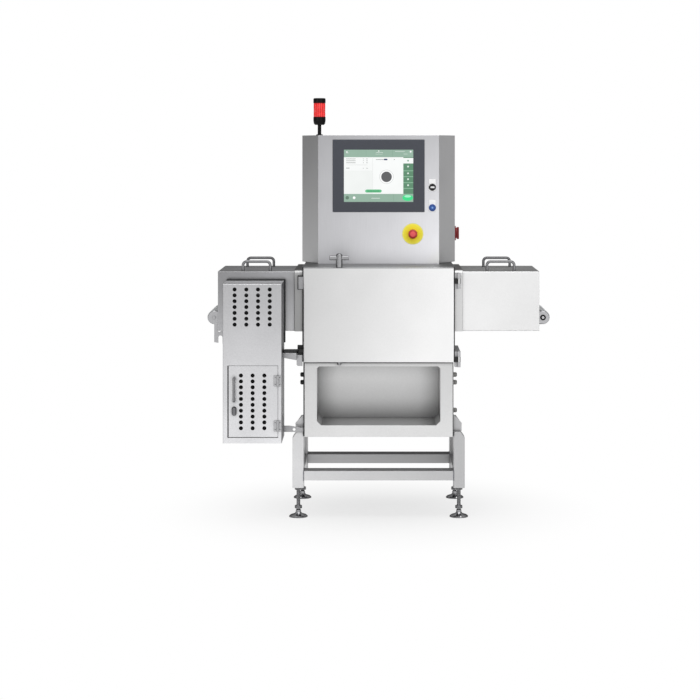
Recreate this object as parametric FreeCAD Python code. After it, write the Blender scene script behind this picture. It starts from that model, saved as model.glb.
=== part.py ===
import FreeCAD, Part
import math
import os

V = FreeCAD.Vector

# Driving dimensions, millimetres. X runs along the belt, -Y is the operator's side, Z is up from the floor.
OVERALL_LENGTH = 1484.0
OVERALL_DEPTH = 820.0
SHEET = 2.5
THICK_SHEET = 3.0
RUNNING_GAP = 0.3
PIN_CLEARANCE = 0.05
SEAM = 1.0

# Electrical cabinet, in front of the infeed tunnel
CABINET_HANDLE_PROUD = 28.0
CABINET_WIDTH = 246.0
CABINET_DEPTH = 240.0
CABINET_BOTTOM_Z = 348.5
CABINET_HEIGHT = 667.0
CABINET_RIGHT_X = -406.0
CABINET_SHEET = 2.0
CABINET_FRONT_Y = -OVERALL_DEPTH / 2 + CABINET_HANDLE_PROUD
CABINET_LEFT_X = CABINET_RIGHT_X - CABINET_WIDTH
CABINET_REAR_Y = CABINET_FRONT_Y + CABINET_DEPTH
CABINET_TOP_Z = CABINET_BOTTOM_Z + CABINET_HEIGHT
CABINET_CENTRE_X = CABINET_LEFT_X + CABINET_WIDTH / 2

# Inspection chamber with its front door
DOOR_FROM_CABINET = 150.0
DOOR_WIDTH = 642.0
DOOR_THICKNESS = 28.0
CHAMBER_WIDTH = 650.0
CHAMBER_BOTTOM_Z = 671.0
CHAMBER_HEIGHT = 405.0
CHAMBER_DEPTH = 570.0
GASKET_GAP = 2.0
DOOR_Y = CABINET_FRONT_Y + DOOR_FROM_CABINET
CHAMBER_TOP_Z = CHAMBER_BOTTOM_Z + CHAMBER_HEIGHT
CHAMBER_FRONT_Y = DOOR_Y + DOOR_THICKNESS + GASKET_GAP
CHAMBER_REAR_Y = CHAMBER_FRONT_Y + CHAMBER_DEPTH
CHAMBER_X = CHAMBER_WIDTH / 2
DOOR_X = DOOR_WIDTH / 2

# Base housing with the open alcove
BASE_WIDTH = 633.0
BASE_BOTTOM_Z = 351.0
BASE_SETBACK = 20.0
ALCOVE_WIDTH = 527.0
ALCOVE_BOTTOM_Z = 400.0
ALCOVE_HEIGHT = 252.0
ALCOVE_DEPTH = 260.0
ALCOVE_LOW_CUT = 18.0
ALCOVE_HIGH_CUT = 9.0
BASE_X = BASE_WIDTH / 2
BASE_FRONT_Y = DOOR_Y + BASE_SETBACK

# Stand
LEG_WIDTH = 48.0
LEG_DEPTH = 80.0
LEG_WALL = 3.0
LEG_BOTTOM_Z = 129.0
LEG_TOP_Z = 369.0
LEG_CHAMFER_X = 18.0
LEG_CHAMFER_Z = 26.0
LEG_PLATE = 4.5
LEG_SETBACK = 40.0
LEG_PITCH_Y = 457.0
CROSSBAR_HEIGHT = 40.0
CROSSBAR_BOTTOM_Z = 162.0
BRACKET_TOP_Z = 441.0
STEM_RADIUS = 8.0
PAD_RADIUS = 40.0
PAD_HEIGHT = 30.0
LEG_INNER_X = BASE_X + LEG_PLATE
LEG_OUTER_X = LEG_INNER_X + LEG_WIDTH
LEG_CENTRE_X = LEG_INNER_X + LEG_WIDTH / 2
FRONT_LEG_Y = DOOR_Y + LEG_SETBACK
REAR_LEG_Y = FRONT_LEG_Y + LEG_PITCH_Y
FOOT_YS = (FRONT_LEG_Y + LEG_DEPTH / 2, REAR_LEG_Y + LEG_DEPTH / 2)

# Conveyor and tunnel
CONVEYOR_FROM_DOOR = 307.0
BELT_WIDTH = 320.0
BELT_THICKNESS = 2.0
BELT_TOP_Z = 881.0
BELT_INNER_RADIUS = 28.0
RAIL_THICKNESS = 6.0
RAIL_RADIUS = 26.0
RAIL_GAP = 5.0
ROLLER_SHAFT_RADIUS = 6.0
HOOD_END_SETBACK = 49.0
HOOD_DEPTH = 414.0
HOOD_BELOW_BELT = 82.0
HOOD_BELOW_CHAMBER_TOP = 23.5
COLLAR_LENGTH = 37.0
MOUTH_WIDTH = 360.0
MOUTH_HEADER = 27.5
CONVEYOR_Y = DOOR_Y + CONVEYOR_FROM_DOOR
BELT_OUTER_RADIUS = BELT_INNER_RADIUS + BELT_THICKNESS
ROLLER_Z = BELT_TOP_Z - BELT_OUTER_RADIUS
ROLLER_X = OVERALL_LENGTH / 2 - BELT_OUTER_RADIUS
HOOD_END_X = OVERALL_LENGTH / 2 - HOOD_END_SETBACK
HOOD_BOTTOM_Z = BELT_TOP_Z - HOOD_BELOW_BELT
HOOD_TOP_Z = CHAMBER_TOP_Z - HOOD_BELOW_CHAMBER_TOP
MOUTH_TOP_Z = HOOD_TOP_Z - MOUTH_HEADER
HOOD_FRONT_Y = CONVEYOR_Y - HOOD_DEPTH / 2
HOOD_REAR_Y = CONVEYOR_Y + HOOD_DEPTH / 2
COLLAR_X = CHAMBER_X + COLLAR_LENGTH
RAIL_INNER = BELT_WIDTH / 2 + RAIL_GAP
RAIL_OUTER = RAIL_INNER + RAIL_THICKNESS

# Head
HEAD_HEIGHT = 565.0
HEAD_FROM_DOOR = 250.0
HEAD_FRONT_WIDTH = 531.0
HEAD_WIDTH = 685.0
HEAD_CHAMFER_DEPTH = 200.0
HEAD_FLANGE = 16.0
HEAD_FRONT_Y = DOOR_Y + HEAD_FROM_DOOR
HEAD_SHELL_Y = HEAD_FRONT_Y + SHEET
HEAD_REAR_Y = OVERALL_DEPTH / 2
HEAD_BOTTOM_Z = CHAMBER_TOP_Z
HEAD_TOP_Z = HEAD_BOTTOM_Z + HEAD_HEIGHT
HEAD_X = HEAD_WIDTH / 2
HEAD_FRONT_X = HEAD_FRONT_WIDTH / 2


def block(x0, x1, y0, y1, z0, z1):
    return Part.makeBox(x1 - x0, y1 - y0, z1 - z0, V(x0, y0, z0))


def rod(start, direction, radius, length):
    return Part.makeCylinder(radius, length, V(*start), V(*direction))


def tube(start, direction, outer, inner, length):
    return rod(start, direction, outer, length).cut(rod(start, direction, inner, length))


def prism(points, travel):
    corners = [V(*point) for point in points]
    return Part.Face(Part.makePolygon(corners + corners[:1])).extrude(V(*travel))


def plate_xz(points, y0, y1):
    return prism([(x, y0, z) for x, z in points], (0, y1 - y0, 0))


def plate_xy(points, z0, z1):
    return prism([(x, y, z0) for x, y in points], (0, 0, z1 - z0))


def fuse(first, *others):
    return first.fuse(list(others)).removeSplitter()


def mirror_x(shape):
    return shape.mirror(V(0, 0, 0), V(1, 0, 0))


def hexagon_nut(centre, across_flats, bore_radius, height):
    x, y, z = centre
    corner = across_flats / math.sqrt(3)
    turns = [math.radians(60 * step) for step in range(6)]
    outline = [(x + corner * math.cos(turn), y + corner * math.sin(turn)) for turn in turns]
    return plate_xy(outline, z, z + height).cut(rod((x, y, z), (0, 0, 1), bore_radius, height))


def edges_along(shape, axis, keep=None):
    found = []
    for edge in shape.Edges:
        if edge.Curve.TypeId != "Part::GeomLine":
            continue
        run = edge.tangentAt(edge.FirstParameter)
        if abs(abs(run.dot(V(*axis))) - 1) < 1e-6 and (keep is None or keep(edge.CenterOfMass)):
            found.append(edge)
    return found


def revolve_z(profile, centre):
    x, y, z = centre
    points = [V(x + radius, y, z + height) for radius, height in profile]
    face = Part.Face(Part.makePolygon(points + points[:1]))
    return face.revolve(V(x, y, z), V(0, 0, 1), 360)


def revolve_y(profile, centre):
    x, y, z = centre
    points = [V(x + radius, y + along, z) for radius, along in profile]
    face = Part.Face(Part.makePolygon(points + points[:1]))
    return face.revolve(V(x, y, z), V(0, 1, 0), 360)


def save(node, *solids):
    shape = solids[0] if len(solids) == 1 else Part.makeCompound(list(solids))
    shape.exportStep("parts/" + node + ".step")


# Levelling feet: dished pad, threaded stem, lock nuts
FOOT_NUT_HEIGHT = 13.0
FOOT_NUT_FLATS = 27.0
STEM_IN_LEG = 60.0
LOWER_NUT_Z = 36.0
LEG_BASE_PLATE = 10.0

PAD_PROFILE = [
    (0, 0), (PAD_RADIUS, 0), (PAD_RADIUS, 4), (34, 9), (16, 15), (12, 20), (11, PAD_HEIGHT), (0, PAD_HEIGHT)]


def foot_places():
    return [(side * LEG_CENTRE_X, y) for side in (-1, 1) for y in FOOT_YS]


def make_feet():
    pads = []
    stems = []
    nuts = []
    for x, y in foot_places():
        pads.append(revolve_z(PAD_PROFILE, (x, y, 0)))
        stems.append(rod((x, y, PAD_HEIGHT), (0, 0, 1), STEM_RADIUS, LEG_BOTTOM_Z + STEM_IN_LEG - PAD_HEIGHT))
        for bottom in (LOWER_NUT_Z, LEG_BOTTOM_Z - FOOT_NUT_HEIGHT):
            nuts.append(hexagon_nut((x, y, bottom), FOOT_NUT_FLATS, STEM_RADIUS + RUNNING_GAP, FOOT_NUT_HEIGHT))
    save("foot_pads", *pads)
    save("foot_stems", *stems, *nuts)


# Legs: closed rectangular tube with a mitred outer top corner and a drilled base plate
def leg_outline(grow):
    inner = LEG_INNER_X - grow
    outer = LEG_OUTER_X + grow
    top = LEG_TOP_Z + grow
    return [(inner, top), (outer - LEG_CHAMFER_X, top), (outer, top - LEG_CHAMFER_Z)]


def make_leg(y0):
    outside = leg_outline(0) + [(LEG_OUTER_X, LEG_BOTTOM_Z), (LEG_INNER_X, LEG_BOTTOM_Z)]
    hollow_z = LEG_BOTTOM_Z + LEG_BASE_PLATE
    inside = leg_outline(-LEG_WALL) + [(LEG_OUTER_X - LEG_WALL, hollow_z), (LEG_INNER_X + LEG_WALL, hollow_z)]
    leg = plate_xz(outside, y0, y0 + LEG_DEPTH)
    leg = leg.makeFillet(4.0, edges_along(leg, (0, 0, 1)))
    leg = leg.cut(plate_xz(inside, y0 + LEG_WALL, y0 + LEG_DEPTH - LEG_WALL))
    hole = rod((LEG_CENTRE_X, y0 + LEG_DEPTH / 2, LEG_BOTTOM_Z), (0, 0, 1), STEM_RADIUS + RUNNING_GAP, LEG_BASE_PLATE)
    return leg.cut(hole)


def make_legs():
    legs = [make_leg(y0) for y0 in (FRONT_LEG_Y, REAR_LEG_Y)]
    save("legs", *legs, *[mirror_x(leg) for leg in legs])


# Crossbars between the legs: flat rectangular tubes
def hollow_bar(x0, x1, y0, y1, z0, z1, along):
    wall = LEG_WALL
    bar = block(x0, x1, y0, y1, z0, z1)
    if along == "x":
        return bar.cut(block(x0, x1, y0 + wall, y1 - wall, z0 + wall, z1 - wall))
    return bar.cut(block(x0 + wall, x1 - wall, y0, y1, z0 + wall, z1 - wall))


def make_crossbars():
    z0 = CROSSBAR_BOTTOM_Z
    z1 = z0 + CROSSBAR_HEIGHT
    bars = [
        hollow_bar(-LEG_INNER_X, LEG_INNER_X, y0, y0 + LEG_DEPTH, z0, z1, "x") for y0 in (FRONT_LEG_Y, REAR_LEG_Y)]
    side = hollow_bar(LEG_INNER_X, LEG_OUTER_X, FRONT_LEG_Y + LEG_DEPTH, REAR_LEG_Y, z0, z1, "y")
    save("stand_crossbars", *bars, mirror_x(side), side)


# Leg brackets: a plate between the leg and the base, in front with a gusset above the leg
GUSSET_REACH = 36.0
GUSSET_STRAIGHT = 34.0
GUSSET_THICKNESS = 8.0


def make_leg_brackets():
    brackets = []
    reach_x = LEG_INNER_X + GUSSET_REACH
    outline = [
        (BASE_X, BRACKET_TOP_Z), (BASE_X, LEG_TOP_Z), (reach_x, LEG_TOP_Z),
        (reach_x, LEG_TOP_Z + GUSSET_STRAIGHT), (LEG_INNER_X, BRACKET_TOP_Z),
    ]
    for y0 in (FRONT_LEG_Y, REAR_LEG_Y):
        bracket = block(BASE_X, LEG_INNER_X, y0, y0 + LEG_DEPTH, BASE_BOTTOM_Z, BRACKET_TOP_Z)
        if y0 == FRONT_LEG_Y:
            middle = y0 + LEG_DEPTH / 2
            gusset = plate_xz(outline, middle - GUSSET_THICKNESS / 2, middle + GUSSET_THICKNESS / 2)
            bracket = fuse(bracket, gusset)
        brackets += [bracket, mirror_x(bracket)]
    save("leg_brackets", *brackets)


# Base housing: folded box behind a front frame, with the alcove liner let in
def octagon(half_width, z0, z1, low_cut, high_cut):
    right = [
        (half_width - low_cut, z0), (half_width, z0 + low_cut), (half_width, z1 - high_cut), (half_width - high_cut, z1)]
    return right + [(-x, z) for x, z in reversed(right)]


def make_base():
    panel_y = BASE_FRONT_Y + THICK_SHEET
    alcove_x = ALCOVE_WIDTH / 2
    alcove_top = ALCOVE_BOTTOM_Z + ALCOVE_HEIGHT
    opening = octagon(alcove_x, ALCOVE_BOTTOM_Z, alcove_top, ALCOVE_LOW_CUT, ALCOVE_HIGH_CUT)

    box = block(-BASE_X, BASE_X, panel_y, CHAMBER_REAR_Y, BASE_BOTTOM_Z, CHAMBER_BOTTOM_Z)
    box = box.makeFillet(5.0, edges_along(box, (0, 0, 1), lambda centre: centre.y > 0))
    inner_x = BASE_X - THICK_SHEET
    box = box.cut(block(
        -inner_x, inner_x, panel_y, CHAMBER_REAR_Y - THICK_SHEET,
        BASE_BOTTOM_Z + THICK_SHEET, CHAMBER_BOTTOM_Z - THICK_SHEET))
    frame = block(-BASE_X, BASE_X, BASE_FRONT_Y, panel_y, BASE_BOTTOM_Z, CHAMBER_BOTTOM_Z)
    save("base_housing", box, frame.cut(plate_xz(opening, BASE_FRONT_Y, panel_y)))

    wall = SHEET
    outside = octagon(
        alcove_x + wall, ALCOVE_BOTTOM_Z - wall, alcove_top + wall, ALCOVE_LOW_CUT, ALCOVE_HIGH_CUT)
    back_y = BASE_FRONT_Y + ALCOVE_DEPTH
    liner = plate_xz(outside, panel_y, back_y + wall).cut(plate_xz(opening, panel_y, back_y))
    save("alcove_liner", liner)


# Cable glands on the base sides, one mains gland at the back
GLAND_FIRST_DROP = 63.0
GLAND_SECOND_DROP = 96.0
GLAND_LOW_DROP = 216.0
GLAND_FROM_DOOR = 102.0
GLAND_PROFILE = [(0, 0), (11, 0), (11, 7), (10, 8), (10, 17), (7, 21), (0, 21)]
MAINS_GLAND_X = 220.0
MAINS_GLAND_RISE = 69.0
MAINS_GLAND_SCALE = 1.4


def make_glands():
    glands = []
    both_sides = (GLAND_FIRST_DROP, GLAND_SECOND_DROP)
    for side, drops in ((-1, both_sides), (1, both_sides + (GLAND_LOW_DROP,))):
        for drop in drops:
            gland = revolve_z(GLAND_PROFILE, (0, 0, 0))
            gland.rotate(V(0, 0, 0), V(0, 1, 0), 90 * side)
            gland.translate(V(side * BASE_X, DOOR_Y + GLAND_FROM_DOOR, CHAMBER_BOTTOM_Z - drop))
            glands.append(gland)
    profile = [(radius * MAINS_GLAND_SCALE, along * MAINS_GLAND_SCALE) for radius, along in GLAND_PROFILE]
    glands.append(revolve_y(profile, (MAINS_GLAND_X, CHAMBER_REAR_Y, BASE_BOTTOM_Z + MAINS_GLAND_RISE)))
    save("cable_glands", *glands)


# Chamber: folded box with a front flange, side mouths for the tunnel and a beam slot in its roof
CHAMBER_FLANGE = 15.0
COLLAR_SIDE = 18.0
COLLAR_FLOOR = 10.0
COLLAR_ROOF = 15.0
COLLAR_PROUD = 8.0
COLLAR_CORNER = 22.0
BEAM_SLOT_LENGTH = 92.0
BEAM_SLOT_WIDTH = 60.0
COLLAR_BELOW_HOOD = 4.0
COLLAR_BOTTOM_Z = HOOD_BOTTOM_Z - COLLAR_BELOW_HOOD
COLLAR_TOP_Z = HOOD_TOP_Z + COLLAR_PROUD
PASSAGE_Y0 = HOOD_FRONT_Y - COLLAR_PROUD + COLLAR_SIDE
PASSAGE_Y1 = HOOD_REAR_Y + COLLAR_PROUD - COLLAR_SIDE
PASSAGE_Z0 = COLLAR_BOTTOM_Z + COLLAR_FLOOR
PASSAGE_Z1 = COLLAR_TOP_Z - COLLAR_ROOF


def make_chamber():
    wall = THICK_SHEET
    inner_x = CHAMBER_X - wall
    box = block(-CHAMBER_X, CHAMBER_X, CHAMBER_FRONT_Y, CHAMBER_REAR_Y, CHAMBER_BOTTOM_Z, CHAMBER_TOP_Z)
    box = box.makeFillet(5.0, edges_along(box, (0, 0, 1), lambda centre: centre.y > 0))
    inside = block(
        -inner_x, inner_x, CHAMBER_FRONT_Y + wall, CHAMBER_REAR_Y - wall,
        CHAMBER_BOTTOM_Z + wall, CHAMBER_TOP_Z - wall)
    flange_x = CHAMBER_X - CHAMBER_FLANGE
    mouth = block(
        -flange_x, flange_x, CHAMBER_FRONT_Y, CHAMBER_FRONT_Y + wall,
        CHAMBER_BOTTOM_Z + CHAMBER_FLANGE, CHAMBER_TOP_Z - CHAMBER_FLANGE)
    passage = block(-CHAMBER_X, CHAMBER_X, PASSAGE_Y0, PASSAGE_Y1, PASSAGE_Z0, PASSAGE_Z1)
    slot = block(
        -BEAM_SLOT_WIDTH / 2, BEAM_SLOT_WIDTH / 2, CONVEYOR_Y - BEAM_SLOT_LENGTH / 2,
        CONVEYOR_Y + BEAM_SLOT_LENGTH / 2, CHAMBER_TOP_Z - wall, CHAMBER_TOP_Z)
    save("chamber_housing", box.cut([inside, mouth, passage, slot]))

    gasket_out = 0.5 * CHAMBER_FLANGE
    gasket = block(
        -CHAMBER_X + gasket_out, CHAMBER_X - gasket_out, DOOR_Y + DOOR_THICKNESS + RUNNING_GAP, CHAMBER_FRONT_Y,
        CHAMBER_BOTTOM_Z + gasket_out, CHAMBER_TOP_Z - gasket_out)
    gasket_hole = block(
        -flange_x, flange_x, DOOR_Y + DOOR_THICKNESS, CHAMBER_FRONT_Y,
        CHAMBER_BOTTOM_Z + CHAMBER_FLANGE, CHAMBER_TOP_Z - CHAMBER_FLANGE)
    save("door_gasket", gasket.cut(gasket_hole))

    collar = block(
        CHAMBER_X, COLLAR_X, HOOD_FRONT_Y - COLLAR_PROUD, HOOD_REAR_Y + COLLAR_PROUD, COLLAR_BOTTOM_Z, COLLAR_TOP_Z)
    top_corners = edges_along(collar, (1, 0, 0), lambda centre: centre.z > BELT_TOP_Z)
    collar = collar.makeFillet(COLLAR_CORNER, top_corners)
    collar = collar.cut(block(CHAMBER_X, COLLAR_X, PASSAGE_Y0, PASSAGE_Y1, PASSAGE_Z0, PASSAGE_Z1))
    save("tunnel_collars", collar, mirror_x(collar))


# Front door: folded pan with a lead lining, on two pin hinges at its right edge
HINGE_X = 342.0
HINGE_BARREL_RADIUS = 8.0
HINGE_PIN_RADIUS = 4.0
HINGE_PIN_HEAD = 3.0
HINGE_HEIGHT = 66.0
HINGE_KNUCKLE = 22.0
HINGE_LEAF = 5.0
HINGE_ARM_REACH = 6.0
HINGE_LEAF_TO_COLLAR = 17.0
HINGE_ARM_OFFSET = 5.0
LOWER_HINGE_BOTTOM_Z = CHAMBER_BOTTOM_Z - 21.0
UPPER_HINGE_BOTTOM_Z = CHAMBER_TOP_Z - 92.0
SIDE_BAR_WIDTH = 24.0
SIDE_BAR_HEIGHT = 12.0
SIDE_BAR_LENGTH = 246.0
SIDE_BAR_TOP_Z = LOWER_HINGE_BOTTOM_Z + HINGE_HEIGHT
HINGE_Y = DOOR_Y + DOOR_THICKNESS / 2
LINING_THICKNESS = 4.0
LOCK_X = -168.0
LOCK_ROD_RADIUS = 8.0
LOCK_FROM_FACE = 11.0
LOCK_Y = DOOR_Y + LOCK_FROM_FACE
LOCK_ROD_BELOW = 11.0
LOCK_CAM_FLAT = 4.0
TEE_STEM_RADIUS = 14.0
TEE_HEIGHT = 60.0
TEE_BAR_RADIUS = 9.5
TEE_BAR_LENGTH = 83.0
TEE_BAR_DROP = 20.0


def make_door():
    bottom = CHAMBER_BOTTOM_Z
    top = CHAMBER_TOP_Z
    pan = block(-DOOR_X, DOOR_X, DOOR_Y, DOOR_Y + DOOR_THICKNESS, bottom, top)
    front_edges = [
        edge for axis in ((1, 0, 0), (0, 0, 1))
        for edge in edges_along(pan, axis, lambda centre: centre.y < DOOR_Y + 1)]
    pan = pan.makeFillet(4.0, front_edges + edges_along(pan, (0, 1, 0)))
    pocket = block(
        -DOOR_X + SHEET, DOOR_X - SHEET, DOOR_Y + SHEET, DOOR_Y + DOOR_THICKNESS, bottom + SHEET, top - SHEET)
    rod_hole = rod((LOCK_X, LOCK_Y, bottom), (0, 0, 1), LOCK_ROD_RADIUS + PIN_CLEARANCE, CHAMBER_HEIGHT)
    pan = pan.cut([pocket, rod_hole])
    save("front_door", pan)

    lining = block(
        -DOOR_X + SHEET, DOOR_X - SHEET, DOOR_Y + DOOR_THICKNESS - LINING_THICKNESS, DOOR_Y + DOOR_THICKNESS,
        bottom + SHEET, top - SHEET)
    save("door_lead_lining", lining)

    lock_rod = rod(
        (LOCK_X, LOCK_Y, bottom - LOCK_ROD_BELOW), (0, 0, 1), LOCK_ROD_RADIUS, CHAMBER_HEIGHT + LOCK_ROD_BELOW)
    cam_flat = block(
        LOCK_X - LOCK_ROD_RADIUS, LOCK_X + LOCK_ROD_RADIUS, LOCK_Y + LOCK_CAM_FLAT, LOCK_Y + LOCK_ROD_RADIUS,
        bottom - LOCK_ROD_BELOW, bottom)
    lock_rod = lock_rod.cut(cam_flat)

    stem_profile = [
        (0, RUNNING_GAP), (TEE_STEM_RADIUS, RUNNING_GAP), (TEE_STEM_RADIUS, TEE_HEIGHT - 6), (9, TEE_HEIGHT - 2),
        (5, TEE_HEIGHT), (0, TEE_HEIGHT),
    ]
    stem = revolve_z(stem_profile, (LOCK_X, LOCK_Y, top))
    socket = rod((LOCK_X, LOCK_Y, top), (0, 0, 1), LOCK_ROD_RADIUS, RUNNING_GAP)
    bar = rod(
        (LOCK_X - TEE_BAR_LENGTH / 2, LOCK_Y, top + TEE_HEIGHT - TEE_BAR_DROP), (1, 0, 0), TEE_BAR_RADIUS,
        TEE_BAR_LENGTH)
    bar = bar.makeFillet(2.0, [edge for edge in bar.Edges if edge.Curve.TypeId == "Part::GeomCircle"])
    save("tee_handle", fuse(stem, bar, socket), lock_rod)


def side_bar(front_y):
    rear_y = CHAMBER_FRONT_Y + SIDE_BAR_LENGTH
    low = SIDE_BAR_TOP_Z - SIDE_BAR_HEIGHT
    return block(CHAMBER_X, CHAMBER_X + SIDE_BAR_WIDTH, front_y, rear_y, low, SIDE_BAR_TOP_Z)


def make_door_hinges():
    fixed = []
    moving = []
    pins = []
    leaf_end = HOOD_FRONT_Y - COLLAR_PROUD - HINGE_LEAF_TO_COLLAR
    arm_end = CHAMBER_FRONT_Y + HINGE_ARM_REACH
    for bottom in (LOWER_HINGE_BOTTOM_Z, UPPER_HINGE_BOTTOM_Z):
        top = bottom + HINGE_HEIGHT
        middle = bottom + HINGE_KNUCKLE
        upper = top - HINGE_KNUCKLE
        bore = rod((HINGE_X, HINGE_Y, bottom), (0, 0, 1), HINGE_PIN_RADIUS + PIN_CLEARANCE, HINGE_HEIGHT)
        leaf = block(CHAMBER_X, CHAMBER_X + HINGE_LEAF, HINGE_Y + HINGE_BARREL_RADIUS, leaf_end, bottom, top)
        knuckles = []
        for low, high in ((bottom, middle - RUNNING_GAP), (upper + RUNNING_GAP, top)):
            barrel = rod((HINGE_X, HINGE_Y, low), (0, 0, 1), HINGE_BARREL_RADIUS, high - low)
            arm = block(CHAMBER_X, HINGE_X + HINGE_BARREL_RADIUS, HINGE_Y, arm_end, low, high)
            knuckles += [barrel, arm]
        if bottom == LOWER_HINGE_BOTTOM_Z:
            knuckles.append(side_bar(arm_end))
        fixed.append(fuse(leaf, *knuckles).cut(bore))
        barrel = rod((HINGE_X, HINGE_Y, middle), (0, 0, 1), HINGE_BARREL_RADIUS, upper - middle)
        arm = block(DOOR_X, HINGE_X, DOOR_Y + HINGE_ARM_OFFSET, HINGE_Y + HINGE_ARM_OFFSET, middle, upper)
        moving.append(fuse(barrel, arm).cut(bore))
        pin = rod((HINGE_X, HINGE_Y, bottom), (0, 0, 1), HINGE_PIN_RADIUS, HINGE_HEIGHT)
        head = rod((HINGE_X, HINGE_Y, top), (0, 0, 1), HINGE_PIN_RADIUS + 2, HINGE_PIN_HEAD)
        pins.append(fuse(pin, head))
    save("door_hinge_brackets", *fixed, *pins)
    save("door_hinge_arms", *moving)


# Safety interlocks at the door's left edge: switch on the chamber, actuator on the door
INTERLOCK_WIDTH = 22.0
INTERLOCK_DEPTH = 34.0
INTERLOCK_CORNER = 3.0
ACTUATOR_INSET = 4.0
ACTUATOR_FRONT_GAP = 6.0
LOWER_SWITCH_Z = CHAMBER_BOTTOM_Z + 29.0
LOWER_SWITCH_HEIGHT = 40.0
LOWER_ACTUATOR_MARGIN = 14.0
UPPER_SWITCH_Z = CHAMBER_TOP_Z - 97.0
UPPER_SWITCH_HEIGHT = 60.0
UPPER_ACTUATOR_MARGIN = 4.0


def make_interlocks():
    switches = []
    actuators = []
    outer = CHAMBER_X + INTERLOCK_WIDTH
    tongue_x = outer - ACTUATOR_INSET
    for bottom, height, margin in (
            (LOWER_SWITCH_Z, LOWER_SWITCH_HEIGHT, LOWER_ACTUATOR_MARGIN),
            (UPPER_SWITCH_Z, UPPER_SWITCH_HEIGHT, UPPER_ACTUATOR_MARGIN)):
        top = bottom + height
        switch = block(-outer, -CHAMBER_X, CHAMBER_FRONT_Y, CHAMBER_FRONT_Y + INTERLOCK_DEPTH, bottom, top)
        corners = edges_along(switch, (0, 0, 1), lambda centre: centre.x < 1 - outer)
        switches.append(switch.makeFillet(INTERLOCK_CORNER, corners))
        tongue = block(
            -tongue_x, -DOOR_X, DOOR_Y + ACTUATOR_FRONT_GAP, DOOR_Y + DOOR_THICKNESS, bottom + margin, top - margin)
        corners = edges_along(tongue, (0, 0, 1), lambda centre: centre.x < 1 - tongue_x)
        actuators.append(tongue.makeFillet(INTERLOCK_CORNER, corners))
    save("interlock_switches", *switches)
    save("interlock_actuators", *actuators)


# Conveyor: two stadium-shaped rails, slider bed, rollers, belt, supports and detector
BED_THICKNESS = 4.5
BED_END_GAP = 34.0
CROSS_TUBE = 20.0
OUTER_TUBE_X = OVERALL_LENGTH / 2 - 142.0
INNER_TUBE_X = 220.0
SUPPORT_XS = (-150.0, 150.0)
SUPPORT_LENGTH = 40.0
DETECTOR_WIDTH = 60.0
DETECTOR_LENGTH = 300.0
DETECTOR_GAP = 7.0
BEAM_SLIT = 12.0
ROLLER_END_GAP = 1.0


def stadium(radius, reach, y0, y1):
    ends = [rod((side * reach, y0, ROLLER_Z), (0, 1, 0), radius, y1 - y0) for side in (-1, 1)]
    return fuse(block(-reach, reach, y0, y1, ROLLER_Z - radius, ROLLER_Z + radius), *ends)


def make_rail(inner, outer):
    low, high = sorted((CONVEYOR_Y + inner, CONVEYOR_Y + outer))
    rail = stadium(RAIL_RADIUS, ROLLER_X, low, high)
    bores = [
        rod((side * ROLLER_X, low, ROLLER_Z), (0, 1, 0), ROLLER_SHAFT_RADIUS + PIN_CLEARANCE, high - low)
        for side in (-1, 1)]
    return rail.cut(bores)


def make_roller(side, name):
    half = BELT_WIDTH / 2 + RAIL_GAP - ROLLER_END_GAP
    reach = RAIL_OUTER + 4
    face = BELT_INNER_RADIUS - RUNNING_GAP
    profile = [
        (0, -reach), (ROLLER_SHAFT_RADIUS, -reach), (ROLLER_SHAFT_RADIUS, -half), (face - 2, -half),
        (face, -half + 2), (face, half - 2), (face - 2, half), (ROLLER_SHAFT_RADIUS, half),
        (ROLLER_SHAFT_RADIUS, reach), (0, reach),
    ]
    save(name, revolve_y(profile, (side * ROLLER_X, CONVEYOR_Y, ROLLER_Z)))


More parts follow.
